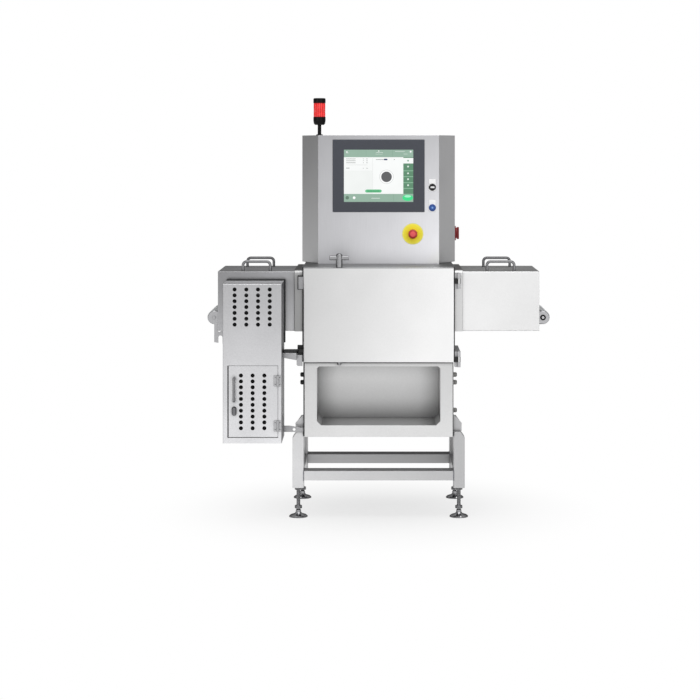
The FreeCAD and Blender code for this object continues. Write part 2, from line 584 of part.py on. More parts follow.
def make_conveyor():
    save("conveyor_side_rails", make_rail(-RAIL_INNER, -RAIL_OUTER), make_rail(RAIL_INNER, RAIL_OUTER))
    make_roller(-1, "infeed_roller")
    make_roller(1, "drive_roller")

    belt_y = (CONVEYOR_Y - BELT_WIDTH / 2, CONVEYOR_Y + BELT_WIDTH / 2)
    belt = stadium(BELT_OUTER_RADIUS, ROLLER_X, *belt_y).cut(stadium(BELT_INNER_RADIUS, ROLLER_X, *belt_y))
    save("conveyor_belt", belt)

    bed_top = ROLLER_Z + BELT_INNER_RADIUS - RUNNING_GAP
    bed_bottom = bed_top - BED_THICKNESS
    bed_x = ROLLER_X - BED_END_GAP
    bed = block(-bed_x, bed_x, belt_y[0], belt_y[1], bed_bottom, bed_top)
    slit = block(
        -BEAM_SLIT / 2, BEAM_SLIT / 2, CONVEYOR_Y - DETECTOR_LENGTH / 2, CONVEYOR_Y + DETECTOR_LENGTH / 2,
        bed_bottom, bed_top)
    bed = bed.cut(slit)

    tubes = [
        block(x - CROSS_TUBE / 2, x + CROSS_TUBE / 2, CONVEYOR_Y - RAIL_INNER, CONVEYOR_Y + RAIL_INNER,
              bed_bottom - CROSS_TUBE, bed_bottom)
        for x in (-OUTER_TUBE_X, -INNER_TUBE_X, INNER_TUBE_X, OUTER_TUBE_X)]

    detector = block(
        -DETECTOR_WIDTH / 2, DETECTOR_WIDTH / 2, CONVEYOR_Y - RAIL_INNER, CONVEYOR_Y + RAIL_INNER,
        ROLLER_Z - BELT_INNER_RADIUS + DETECTOR_GAP, bed_bottom)
    window = block(
        -BEAM_SLIT / 2, BEAM_SLIT / 2, CONVEYOR_Y - DETECTOR_LENGTH / 2, CONVEYOR_Y + DETECTOR_LENGTH / 2,
        bed_bottom - 6, bed_bottom)
    save("line_detector", detector.cut(window))

    supports = tubes
    for x in SUPPORT_XS:
        for low, high in ((-RAIL_OUTER, -RAIL_INNER), (RAIL_INNER, RAIL_OUTER)):
            post = block(
                x - SUPPORT_LENGTH / 2, x + SUPPORT_LENGTH / 2, CONVEYOR_Y + low, CONVEYOR_Y + high,
                CHAMBER_BOTTOM_Z + THICK_SHEET, ROLLER_Z - RAIL_RADIUS)
            supports.append(post)
    save("slider_bed", bed, *supports)


# Infeed hook brackets under the rails, for an upstream conveyor
HOOK_OUTER_X = 30.0 - OVERALL_LENGTH / 2
HOOK_LENGTH = 54.0
HOOK_NECK_GAP = 2.0
HOOK_BOTTOM_Z = BELT_TOP_Z - 137.0
HOOK_SLOPE = 8.0
HOOK_SHOULDER_Z = HOOD_BOTTOM_Z - 10.0
HOOK_SLOT_RADIUS = 9.0
HOOK_SLOT_RISE = 20.0


def make_hook_brackets():
    inner_x = HOOK_OUTER_X + HOOK_LENGTH
    top = ROLLER_Z - RAIL_RADIUS
    neck_x = -HOOD_END_X - HOOK_NECK_GAP
    middle = HOOK_OUTER_X + HOOK_LENGTH / 2
    slot_z = HOOK_BOTTOM_Z + HOOK_SLOT_RISE
    low_z = HOOK_BOTTOM_Z - HOOK_SLOPE
    outline = [
        (HOOK_OUTER_X, HOOK_BOTTOM_Z), (inner_x, low_z), (inner_x, HOOK_SHOULDER_Z), (neck_x, HOOK_SHOULDER_Z),
        (neck_x, top), (HOOK_OUTER_X, top),
    ]
    brackets = []
    for low, high in ((-RAIL_OUTER, -RAIL_INNER), (RAIL_INNER, RAIL_OUTER)):
        y0 = CONVEYOR_Y + low
        y1 = CONVEYOR_Y + high
        bracket = plate_xz(outline, y0, y1)
        slot = rod((middle, y0, slot_z), (0, 1, 0), HOOK_SLOT_RADIUS, y1 - y0)
        throat = block(
            middle - HOOK_SLOT_RADIUS, middle + HOOK_SLOT_RADIUS, y0, y1, low_z, slot_z)
        brackets.append(bracket.cut([slot, throat]))
    save("infeed_hook_brackets", *brackets)


# Tunnel hoods: lift-off covers on trays, each with two bent handles, a rod and a slit curtain
TRAY_THICKNESS = 2.5
TRAY_RIM = 16.0
CURTAIN_X = HOOD_END_X - 53.0
CURTAIN_ROD_Z = HOOD_TOP_Z - 16.5
CURTAIN_ROD_RADIUS = 4.0
CURTAIN_SLEEVE_RADIUS = 7.0
CURTAIN_BOTTOM_Z = BELT_TOP_Z + 7.0
CURTAIN_THICKNESS = 3.0
CURTAIN_WIDTH = 350.0
CURTAIN_STRIPS = 11
CURTAIN_SLIT = 2.0
HANDLE_X = HOOD_END_X - 164.0
HANDLE_PITCH = 118.0
HANDLE_HEIGHT = 40.0
HANDLE_RADIUS = 6.0
HANDLE_BEND = 16.0
HANDLE_INSET_FRONT = 50.0
HANDLE_INSET_REAR = 74.0


def bent_handle(x, y, z, pitch, height, radius, bend):
    left = x - pitch / 2
    right = x + pitch / 2
    top = z + height
    slack = bend * (1 - math.sqrt(0.5))
    path = Part.Wire([
        Part.LineSegment(V(left, y, z), V(left, y, top - bend)).toShape(),
        Part.Arc(V(left, y, top - bend), V(left + slack, y, top - slack), V(left + bend, y, top)).toShape(),
        Part.LineSegment(V(left + bend, y, top), V(right - bend, y, top)).toShape(),
        Part.Arc(V(right - bend, y, top), V(right - slack, y, top - slack), V(right, y, top - bend)).toShape(),
        Part.LineSegment(V(right, y, top - bend), V(right, y, z)).toShape(),
    ])
    profile = Part.Wire([Part.makeCircle(radius, V(left, y, z), V(0, 0, 1))])
    return path.makePipeShell([profile], True, True)


def make_hood_parts():
    inner_x = COLLAR_X + 0.5
    hood = block(inner_x, HOOD_END_X, HOOD_FRONT_Y, HOOD_REAR_Y, HOOD_BOTTOM_Z, HOOD_TOP_Z)
    hood = hood.makeFillet(3.0, edges_along(hood, (1, 0, 0), lambda centre: centre.z > BELT_TOP_Z))
    inside = block(
        inner_x, HOOD_END_X - SHEET, HOOD_FRONT_Y + SHEET, HOOD_REAR_Y - SHEET, HOOD_BOTTOM_Z, HOOD_TOP_Z - SHEET)
    mouth = block(
        HOOD_END_X - SHEET, HOOD_END_X, CONVEYOR_Y - MOUTH_WIDTH / 2, CONVEYOR_Y + MOUTH_WIDTH / 2,
        HOOD_BOTTOM_Z, MOUTH_TOP_Z)
    hood = hood.cut([inside, mouth])

    tray = block(COLLAR_X, HOOD_END_X, HOOD_FRONT_Y, HOOD_REAR_Y, HOOD_BOTTOM_Z - TRAY_THICKNESS, HOOD_BOTTOM_Z)
    rims = []
    rim_gap = SHEET + 0.5
    for y0 in (HOOD_FRONT_Y + rim_gap, HOOD_REAR_Y - rim_gap - 2.0):
        rims.append(block(COLLAR_X, HOOD_END_X - rim_gap, y0, y0 + 2.0, HOOD_BOTTOM_Z, HOOD_BOTTOM_Z + TRAY_RIM))
    tray = fuse(tray, *rims)

    inner_depth = HOOD_DEPTH - 2 * SHEET
    curtain_rod = rod((CURTAIN_X, HOOD_FRONT_Y + SHEET, CURTAIN_ROD_Z), (0, 1, 0), CURTAIN_ROD_RADIUS, inner_depth)

    curtain_y0 = CONVEYOR_Y - CURTAIN_WIDTH / 2
    sleeve = rod((CURTAIN_X, curtain_y0, CURTAIN_ROD_Z), (0, 1, 0), CURTAIN_SLEEVE_RADIUS, CURTAIN_WIDTH)
    strip_width = (CURTAIN_WIDTH - (CURTAIN_STRIPS - 1) * CURTAIN_SLIT) / CURTAIN_STRIPS
    strips = []
    for index in range(CURTAIN_STRIPS):
        y0 = curtain_y0 + index * (strip_width + CURTAIN_SLIT)
        strips.append(block(
            CURTAIN_X - CURTAIN_THICKNESS / 2, CURTAIN_X + CURTAIN_THICKNESS / 2, y0, y0 + strip_width,
            CURTAIN_BOTTOM_Z, CURTAIN_ROD_Z))
    bore = rod(
        (CURTAIN_X, curtain_y0, CURTAIN_ROD_Z), (0, 1, 0), CURTAIN_ROD_RADIUS + PIN_CLEARANCE, CURTAIN_WIDTH)
    curtain = fuse(sleeve, *strips).cut(bore)

    handles = [
        bent_handle(HANDLE_X, y, HOOD_TOP_Z, HANDLE_PITCH, HANDLE_HEIGHT, HANDLE_RADIUS, HANDLE_BEND)
        for y in (HOOD_FRONT_Y + HANDLE_INSET_FRONT, HOOD_REAR_Y - HANDLE_INSET_REAR)]
    return tray, {"hood": [hood], "curtain": [curtain], "hood_handles": handles + [curtain_rod]}


def make_hoods():
    tray, pieces = make_hood_parts()
    save("tunnel_trays", tray, mirror_x(tray))
    for piece, solids in pieces.items():
        save("outfeed_" + piece, *solids)
        save("infeed_" + piece, *[mirror_x(solid) for solid in solids])


# Head: folded housing with angled front corners, front panel, rear service panel
DISPLAY_SIDE_ROOM = 64.0
DISPLAY_HEIGHT = 318.0
BEZEL_SIDE = 49.5
BEZEL_END = 44.5
DISPLAY_WIDTH = HEAD_FRONT_WIDTH - 2 * DISPLAY_SIDE_ROOM
DISPLAY_CENTRE_Z = HEAD_TOP_Z - 178.0
SCREEN_WIDTH = DISPLAY_WIDTH - 2 * BEZEL_SIDE
SCREEN_HEIGHT = DISPLAY_HEIGHT - 2 * BEZEL_END
BEZEL_THICKNESS = 6.0
GLASS_THICKNESS = 3.0
GLASS_RECESS = 1.0
BEZEL_CORNER = 3.0
BEZEL_CHAMFER = 1.5
COMPUTER_MARGIN = 24.0
COMPUTER_DEPTH = 55.0
CONTROL_X = HEAD_FRONT_X - 29.5
KEY_Z = HEAD_TOP_Z - 228.0
START_Z = HEAD_TOP_Z - 318.0
STOP_X = 150.0
STOP_Z = HEAD_BOTTOM_Z + 132.0
CONTROL_HOLE_RADIUS = 11.2
REAR_PANEL_MARGIN = 45.0
REAR_PANEL_LAP = 12.0
LOUVRE_COUNT = 9
LOUVRE_PITCH = 18.0
LOUVRE_HEIGHT = 7.0
LOUVRE_LENGTH = 200.0
LOUVRE_BOTTOM_Z = HEAD_TOP_Z - 241.0


def head_plan(shrink):
    front_y = HEAD_SHELL_Y + shrink
    rear_y = HEAD_REAR_Y - SHEET - shrink
    corner_y = HEAD_FRONT_Y + HEAD_CHAMFER_DEPTH
    front_x = HEAD_FRONT_X - shrink
    side_x = HEAD_X - shrink
    return [
        (-front_x, front_y), (front_x, front_y), (side_x, corner_y), (side_x, rear_y), (-side_x, rear_y),
        (-side_x, corner_y),
    ]


def make_head():
    shell = plate_xy(head_plan(0), HEAD_BOTTOM_Z, HEAD_TOP_Z)
    shell = shell.makeFillet(4.0, edges_along(shell, (0, 0, 1), lambda centre: centre.y > HEAD_SHELL_Y + 1))
    inside = plate_xy(head_plan(SHEET), HEAD_BOTTOM_Z + SHEET, HEAD_TOP_Z - SHEET)
    opening_x = HEAD_FRONT_X - HEAD_FLANGE
    opening = block(
        -opening_x, opening_x, HEAD_SHELL_Y, HEAD_SHELL_Y + SHEET, HEAD_BOTTOM_Z + HEAD_FLANGE,
        HEAD_TOP_Z - HEAD_FLANGE)
    slot = block(
        -BEAM_SLOT_WIDTH / 2, BEAM_SLOT_WIDTH / 2, CONVEYOR_Y - BEAM_SLOT_LENGTH / 2,
        CONVEYOR_Y + BEAM_SLOT_LENGTH / 2, HEAD_BOTTOM_Z, HEAD_BOTTOM_Z + SHEET)
    edge = REAR_PANEL_MARGIN + REAR_PANEL_LAP
    rear_hole = block(
        edge - HEAD_X, HEAD_X - edge, HEAD_REAR_Y - 2 * SHEET, HEAD_REAR_Y - SHEET,
        HEAD_BOTTOM_Z + edge, HEAD_TOP_Z - edge)
    save("head_housing", shell.cut([inside, opening, slot, rear_hole]))

    panel = block(-HEAD_FRONT_X, HEAD_FRONT_X, HEAD_FRONT_Y, HEAD_SHELL_Y, HEAD_BOTTOM_Z, HEAD_TOP_Z)
    computer_x = DISPLAY_WIDTH / 2 - COMPUTER_MARGIN + SEAM
    computer_z = DISPLAY_HEIGHT / 2 - COMPUTER_MARGIN + SEAM
    cut_outs = [block(
        -computer_x, computer_x, HEAD_FRONT_Y, HEAD_SHELL_Y, DISPLAY_CENTRE_Z - computer_z,
        DISPLAY_CENTRE_Z + computer_z)]
    for x, z in ((CONTROL_X, KEY_Z), (CONTROL_X, START_Z), (STOP_X, STOP_Z)):
        cut_outs.append(rod((x, HEAD_FRONT_Y, z), (0, 1, 0), CONTROL_HOLE_RADIUS, SHEET))
    save("head_front_panel", panel.cut(cut_outs))

    rear_x = HEAD_X - REAR_PANEL_MARGIN
    rear = block(
        -rear_x, rear_x, HEAD_REAR_Y - SHEET, HEAD_REAR_Y, HEAD_BOTTOM_Z + REAR_PANEL_MARGIN,
        HEAD_TOP_Z - REAR_PANEL_MARGIN)
    slots = []
    for column in (-1, 1):
        x0 = column * rear_x / 2 - LOUVRE_LENGTH / 2
        for index in range(LOUVRE_COUNT):
            z0 = LOUVRE_BOTTOM_Z + index * LOUVRE_PITCH
            slots.append(block(x0, x0 + LOUVRE_LENGTH, HEAD_REAR_Y - SHEET, HEAD_REAR_Y, z0, z0 + LOUVRE_HEIGHT))
    save("rear_service_panel", rear.cut(slots))


# Generator in the head: tank on the head floor, with a collimator throat down into the chamber roof
TANK_WIDTH = 220.0
TANK_DEPTH = 240.0
TANK_TO_COMPUTER = 24.5
TANK_FRONT_GAP = 5.0
TANK_CORNER = 12.0
THROAT_HEIGHT = 60.0
THROAT_WALL = 4.0
THROAT_RIM = 4.0
TANK_FOOT = 24.0
TANK_FOOT_INSET = 16.0


def make_source():
    floor_z = HEAD_BOTTOM_Z + SHEET
    half_x = BEAM_SLOT_WIDTH / 2 - SEAM
    half_y = BEAM_SLOT_LENGTH / 2 - SEAM
    rim = THROAT_RIM
    throat = fuse(
        block(-half_x, half_x, CONVEYOR_Y - half_y, CONVEYOR_Y + half_y, CHAMBER_TOP_Z - THICK_SHEET, floor_z),
        block(-half_x - rim, half_x + rim, CONVEYOR_Y - half_y - rim, CONVEYOR_Y + half_y + rim,
              floor_z, floor_z + THROAT_HEIGHT))
    wall = THROAT_WALL
    throat = throat.cut(block(
        -half_x + wall, half_x - wall, CONVEYOR_Y - half_y + wall, CONVEYOR_Y + half_y - wall,
        CHAMBER_TOP_Z - THICK_SHEET, floor_z + THROAT_HEIGHT))
    tank_z = floor_z + THROAT_HEIGHT
    tank_y = HEAD_SHELL_Y + SHEET + TANK_FRONT_GAP
    tank_top = DISPLAY_CENTRE_Z - DISPLAY_HEIGHT / 2 + COMPUTER_MARGIN - TANK_TO_COMPUTER
    tank = block(-TANK_WIDTH / 2, TANK_WIDTH / 2, tank_y, tank_y + TANK_DEPTH, tank_z, tank_top)
    tank = tank.makeFillet(TANK_CORNER, edges_along(tank, (0, 0, 1)))
    feet = [
        block(side * TANK_WIDTH / 4 - TANK_FOOT / 2, side * TANK_WIDTH / 4 + TANK_FOOT / 2,
              tank_y + TANK_DEPTH - TANK_FOOT_INSET - TANK_FOOT, tank_y + TANK_DEPTH - TANK_FOOT_INSET,
              floor_z, tank_z)
        for side in (-1, 1)]
    save("xray_generator", fuse(tank, *feet), throat)


# Display: bezel frame, glass, panel computer behind
def make_display():
    x = DISPLAY_WIDTH / 2
    z0 = DISPLAY_CENTRE_Z - DISPLAY_HEIGHT / 2
    z1 = DISPLAY_CENTRE_Z + DISPLAY_HEIGHT / 2
    face_y = HEAD_FRONT_Y - BEZEL_THICKNESS
    bezel = block(-x, x, face_y, HEAD_FRONT_Y, z0, z1)
    bezel = bezel.makeFillet(BEZEL_CORNER, edges_along(bezel, (0, 1, 0)))
    bezel = bezel.makeChamfer(BEZEL_CHAMFER, [
        edge for edge in bezel.Edges if all(abs(vertex.Y - face_y) < 0.01 for vertex in edge.Vertexes)])
    window_x = SCREEN_WIDTH / 2
    window_z = SCREEN_HEIGHT / 2
    window = block(
        -window_x, window_x, face_y, HEAD_FRONT_Y, DISPLAY_CENTRE_Z - window_z, DISPLAY_CENTRE_Z + window_z)
    save("display_bezel", bezel.cut(window))
    glass = block(
        -window_x, window_x, face_y + GLASS_RECESS, face_y + GLASS_RECESS + GLASS_THICKNESS,
        DISPLAY_CENTRE_Z - window_z, DISPLAY_CENTRE_Z + window_z)
    save("display_glass", glass)
    case_x = x - COMPUTER_MARGIN
    case_z = DISPLAY_HEIGHT / 2 - COMPUTER_MARGIN
    save("panel_computer", block(
        -case_x, case_x, HEAD_FRONT_Y, HEAD_FRONT_Y + COMPUTER_DEPTH, DISPLAY_CENTRE_Z - case_z,
        DISPLAY_CENTRE_Z + case_z))


# Operator controls: labels, key switch, push button, emergency stop
LABEL_WIDTH = 29.0
LABEL_THICKNESS = 1.0
LABEL_BELOW = 17.0
LABEL_ABOVE = 36.0
RING_RADIUS = 15.0
RING_PROUD = 4.0
RING_BORE = 11.0
KEY_RADIUS = 10.6
KEY_RECESS = 2.0
KEY_BOW_WIDTH = 16.0
KEY_BOW_LENGTH = 14.0
KEY_SHANK_WIDTH = 7.0
KEY_SHANK_LENGTH = 9.0
KEY_THICKNESS = 2.4
KEY_BOW_CORNER = 5.0
BARREL_RADIUS = 10.8
BUTTON_RADIUS = 10.6
BUTTON_PROUD = 3.0
STOP_DISC_RADIUS = 46.0
STOP_DISC_THICKNESS = 1.5
STOP_COLLAR_RADIUS = 15.0
STOP_COLLAR_PROUD = 10.0
STOP_HEAD_RADIUS = 20.0
STOP_HEAD_GAP = 6.0
STOP_HEAD_LENGTH = 16.0
STEM_LENGTH = 26.0


def control_collar(x, z, radius, proud, seat_y):
    front = -proud
    profile = [
        (RING_BORE, front), (radius - 1, front), (radius, front + 1), (radius, 0), (RING_BORE, 0),
    ]
    return revolve_y(profile, (x, seat_y, z))


def make_controls():
    face = HEAD_FRONT_Y
    label_y = face - LABEL_THICKNESS
    labels = []
    rings = []
    for z in (KEY_Z, START_Z):
        label = block(
            CONTROL_X - LABEL_WIDTH / 2, CONTROL_X + LABEL_WIDTH / 2, label_y, face, z - LABEL_BELOW,
            z + LABEL_ABOVE)
        labels.append(label.cut(rod((CONTROL_X, label_y, z), (0, 1, 0), CONTROL_HOLE_RADIUS, LABEL_THICKNESS)))
        rings.append(control_collar(CONTROL_X, z, RING_RADIUS, RING_PROUD, label_y))
    save("control_label_plates", *labels)

    core_front = label_y - RING_PROUD + KEY_RECESS
    core = rod((CONTROL_X, core_front, KEY_Z), (0, 1, 0), KEY_RADIUS, STEM_LENGTH)
    key_z = (KEY_Z - KEY_THICKNESS / 2, KEY_Z + KEY_THICKNESS / 2)
    bow_y = core_front - KEY_SHANK_LENGTH + 1
    bow = block(CONTROL_X - KEY_BOW_WIDTH / 2, CONTROL_X + KEY_BOW_WIDTH / 2, bow_y - KEY_BOW_LENGTH, bow_y, *key_z)
    bow = bow.makeFillet(KEY_BOW_CORNER, edges_along(bow, (0, 0, 1)))
    shank = block(
        CONTROL_X - KEY_SHANK_WIDTH / 2, CONTROL_X + KEY_SHANK_WIDTH / 2, core_front - KEY_SHANK_LENGTH, core_front,
        *key_z)
    save("key_switch_core", core, fuse(bow, shank))

    cap_front = label_y - RING_PROUD - BUTTON_PROUD
    cap = [
        (0, cap_front), (BUTTON_RADIUS - 1.5, cap_front), (BUTTON_RADIUS, cap_front + 1.5),
        (BUTTON_RADIUS, face + STEM_LENGTH), (0, face + STEM_LENGTH),
    ]
    save("start_button", revolve_y(cap, (CONTROL_X, 0, START_Z)))

    disc_y = face - STOP_DISC_THICKNESS
    disc = tube((STOP_X, disc_y, STOP_Z), (0, 1, 0), STOP_DISC_RADIUS, CONTROL_HOLE_RADIUS, STOP_DISC_THICKNESS)
    save("emergency_stop_disc", disc)
    rings.append(control_collar(STOP_X, STOP_Z, STOP_COLLAR_RADIUS, STOP_COLLAR_PROUD, disc_y))
    save("control_rings", *rings)
    back = disc_y - STOP_COLLAR_PROUD - STOP_HEAD_GAP
    front = back - STOP_HEAD_LENGTH
    mushroom = [
        (0, front), (11, front + 1), (STOP_HEAD_RADIUS - 3, front + 4), (STOP_HEAD_RADIUS, front + 8),
        (STOP_HEAD_RADIUS, back - 2), (STOP_HEAD_RADIUS - 2, back), (BARREL_RADIUS, back),
        (BARREL_RADIUS, face + STEM_LENGTH), (0, face + STEM_LENGTH),
    ]
    save("emergency_stop_button", revolve_y(mushroom, (STOP_X, 0, STOP_Z)))


# Signal beacon on its pole
BEACON_X = -261.0
BEACON_FROM_HEAD = 50.0
BEACON_RADIUS = 27.0
POLE_RADIUS = 8.0
POLE_HEIGHT = 46.0
BEACON_BASE_HEIGHT = 35.0
LENS_HEIGHT = 61.0
CAP_HEIGHT = 22.0
LENS_RIBS = 4
LENS_WALL = 3.0
LAMP_GAP = 9.0


def make_beacon():
    centre = (BEACON_X, HEAD_FRONT_Y + BEACON_FROM_HEAD, HEAD_TOP_Z)
    pole = [(0, 0), (POLE_RADIUS + 7, 0), (POLE_RADIUS + 7, 3), (POLE_RADIUS, 5), (POLE_RADIUS, POLE_HEIGHT),
            (0, POLE_HEIGHT)]
    save("beacon_pole", revolve_z(pole, centre))
    base_top = POLE_HEIGHT + BEACON_BASE_HEIGHT
    base = [
        (0, POLE_HEIGHT), (BEACON_RADIUS - 7, POLE_HEIGHT), (BEACON_RADIUS - 2, POLE_HEIGHT + 6),
        (BEACON_RADIUS, POLE_HEIGHT + 18), (BEACON_RADIUS, base_top), (0, base_top),
    ]
    lens_top = base_top + LENS_HEIGHT
    outer = [(BEACON_RADIUS - LENS_WALL, base_top)]
    pitch = LENS_HEIGHT / LENS_RIBS
    for index in range(LENS_RIBS):
        low = base_top + index * pitch
        outer += [(BEACON_RADIUS - 1, low), (BEACON_RADIUS - 0.4, low + pitch / 2)]
    outer += [(BEACON_RADIUS - 1, lens_top), (BEACON_RADIUS - LENS_WALL, lens_top)]
    save("beacon_lens", revolve_z(outer, centre))
    cap_top = lens_top + CAP_HEIGHT
    cap = [(0, lens_top), (BEACON_RADIUS, lens_top), (BEACON_RADIUS, cap_top - 3), (BEACON_RADIUS - 4, cap_top),
           (0, cap_top)]
    core_radius = BEACON_RADIUS - LENS_WALL - LAMP_GAP
    core = [(0, base_top), (core_radius, base_top), (core_radius, lens_top), (0, lens_top)]
    save("beacon_housing", revolve_z(base, centre), revolve_z(cap, centre), revolve_z(core, centre))


# Main switch on the head's right side
SWITCH_PLATE = 64.0
SWITCH_PLATE_THICKNESS = 7.0
SWITCH_KNOB_RADIUS = 24.0
SWITCH_KNOB_BASE = 6.0
SWITCH_GRIP_WIDTH = 14.0
SWITCH_GRIP_LENGTH = 54.0
SWITCH_GRIP_HEIGHT = 9.0
SWITCH_Y = HOOD_REAR_Y + SWITCH_PLATE / 2
SWITCH_Z = HEAD_BOTTOM_Z + 123.0


def make_main_switch():
    half = SWITCH_PLATE / 2
    plate = block(
        HEAD_X, HEAD_X + SWITCH_PLATE_THICKNESS, SWITCH_Y - half, SWITCH_Y + half, SWITCH_Z - half, SWITCH_Z + half)
    plate = plate.makeFillet(6.0, edges_along(plate, (1, 0, 0)))
    save("main_switch_plate", plate)
    knob_x = HEAD_X + SWITCH_PLATE_THICKNESS + RUNNING_GAP
    knob = rod((knob_x, SWITCH_Y, SWITCH_Z), (1, 0, 0), SWITCH_KNOB_RADIUS, SWITCH_KNOB_BASE)
    grip_x = knob_x + SWITCH_KNOB_BASE
    grip = block(
        grip_x - 1, grip_x + SWITCH_GRIP_HEIGHT, SWITCH_Y - SWITCH_GRIP_WIDTH / 2, SWITCH_Y + SWITCH_GRIP_WIDTH / 2,
        SWITCH_Z - SWITCH_GRIP_LENGTH / 2, SWITCH_Z + SWITCH_GRIP_LENGTH / 2)
    grip = grip.makeFillet(3.0, edges_along(grip, (1, 0, 0)))
    save("main_switch_handle", fuse(knob, grip))


# Cabinet: perforated shell, perforated door on two hinges, handle, latch, arms, fan and drive controller
VENT_RADIUS = 8.5
VENT_PITCH_X = 49.0
VENT_PITCH_Z = 24.5
VENT_TOP_FROM_TOP = 22.5
VENT_COLUMNS = 4
VENT_ROWS = 7
CABINET_DOOR_LEFT_X = CABINET_LEFT_X + 21.0
CABINET_DOOR_WIDTH = 209.0
CABINET_DOOR_BOTTOM_Z = CABINET_BOTTOM_Z + 25.5
CABINET_DOOR_HEIGHT = 299.0
DOOR_VENT_COLUMNS = 3
DOOR_VENT_ROWS = 10
DOOR_VENT_FIRST_X = CABINET_DOOR_LEFT_X + 55.0
DOOR_VENT_FIRST_Z = CABINET_DOOR_BOTTOM_Z + 38.5
DOOR_GAP = 1.5
DOOR_REBATE = 8.0
CABINET_HINGE_HEIGHT = 44.0
CABINET_DOOR_LEAF_X = 17.0
CABINET_FIXED_LEAF_X = 15.0
LEAF_SPLIT = 0.5
CABINET_HINGE_LEAF = 2.0
CABINET_BARREL_RADIUS = 4.0
CABINET_PIN_RADIUS = 2.0
LATCH_X = CABINET_DOOR_LEFT_X + 26.5
LATCH_Z = CABINET_DOOR_BOTTOM_Z + 110.0
PULL_BOTTOM_Z = LATCH_Z + 38.0
PULL_HEIGHT = 104.0
PULL_RADIUS = 5.0
PULL_BEND = 9.0
LATCH_HEIGHT = 33.0
LATCH_WIDTH = 14.0
LATCH_THICKNESS = 9.0
LATCH_SPINDLE_RADIUS = 5.0
LATCH_SPINDLE_LENGTH = 20.0
TONGUE_REACH = 36.0
TONGUE_HALF_WIDTH = 7.0
TONGUE_GAP = 2.0
TONGUE_THICKNESS = 3.0
CABINET_DOOR_RIGHT_X = CABINET_DOOR_LEFT_X + CABINET_DOOR_WIDTH
CABINET_HINGE_X = CABINET_DOOR_RIGHT_X + DOOR_GAP / 2
CABINET_HINGE_Y = CABINET_FRONT_Y - CABINET_BARREL_RADIUS
CABINET_HINGE_BOTTOMS = (CABINET_DOOR_BOTTOM_Z + 26.0, CABINET_DOOR_BOTTOM_Z + 215.0)


def make_cabinet_shell():
    wall = CABINET_SHEET
    shell = block(
        CABINET_LEFT_X, CABINET_RIGHT_X, CABINET_FRONT_Y, CABINET_REAR_Y, CABINET_BOTTOM_Z, CABINET_TOP_Z)
    rounded = edges_along(shell, (0, 0, 1))
    rounded += edges_along(shell, (1, 0, 0), lambda centre: centre.y < CABINET_FRONT_Y + 1)
    shell = shell.makeFillet(2.5, rounded)
    inside = block(
        CABINET_LEFT_X + wall, CABINET_RIGHT_X - wall, CABINET_FRONT_Y + wall, CABINET_REAR_Y - wall,
        CABINET_BOTTOM_Z + wall, CABINET_TOP_Z - wall)
    cuts = [inside, block(
        CABINET_DOOR_LEFT_X - DOOR_GAP, CABINET_DOOR_RIGHT_X + DOOR_GAP, CABINET_FRONT_Y, CABINET_FRONT_Y + wall,
        CABINET_DOOR_BOTTOM_Z - DOOR_GAP, CABINET_DOOR_BOTTOM_Z + CABINET_DOOR_HEIGHT + DOOR_GAP)]
    first_x = CABINET_CENTRE_X - VENT_PITCH_X * (VENT_COLUMNS - 1) / 2
    first_z = CABINET_TOP_Z - VENT_TOP_FROM_TOP
    for column in range(VENT_COLUMNS):
        for row in range(VENT_ROWS):
            place = (first_x + column * VENT_PITCH_X, CABINET_FRONT_Y, first_z - row * VENT_PITCH_Z)
            cuts.append(rod(place, (0, 1, 0), VENT_RADIUS, wall))
    save("cabinet_shell", shell.cut(cuts))


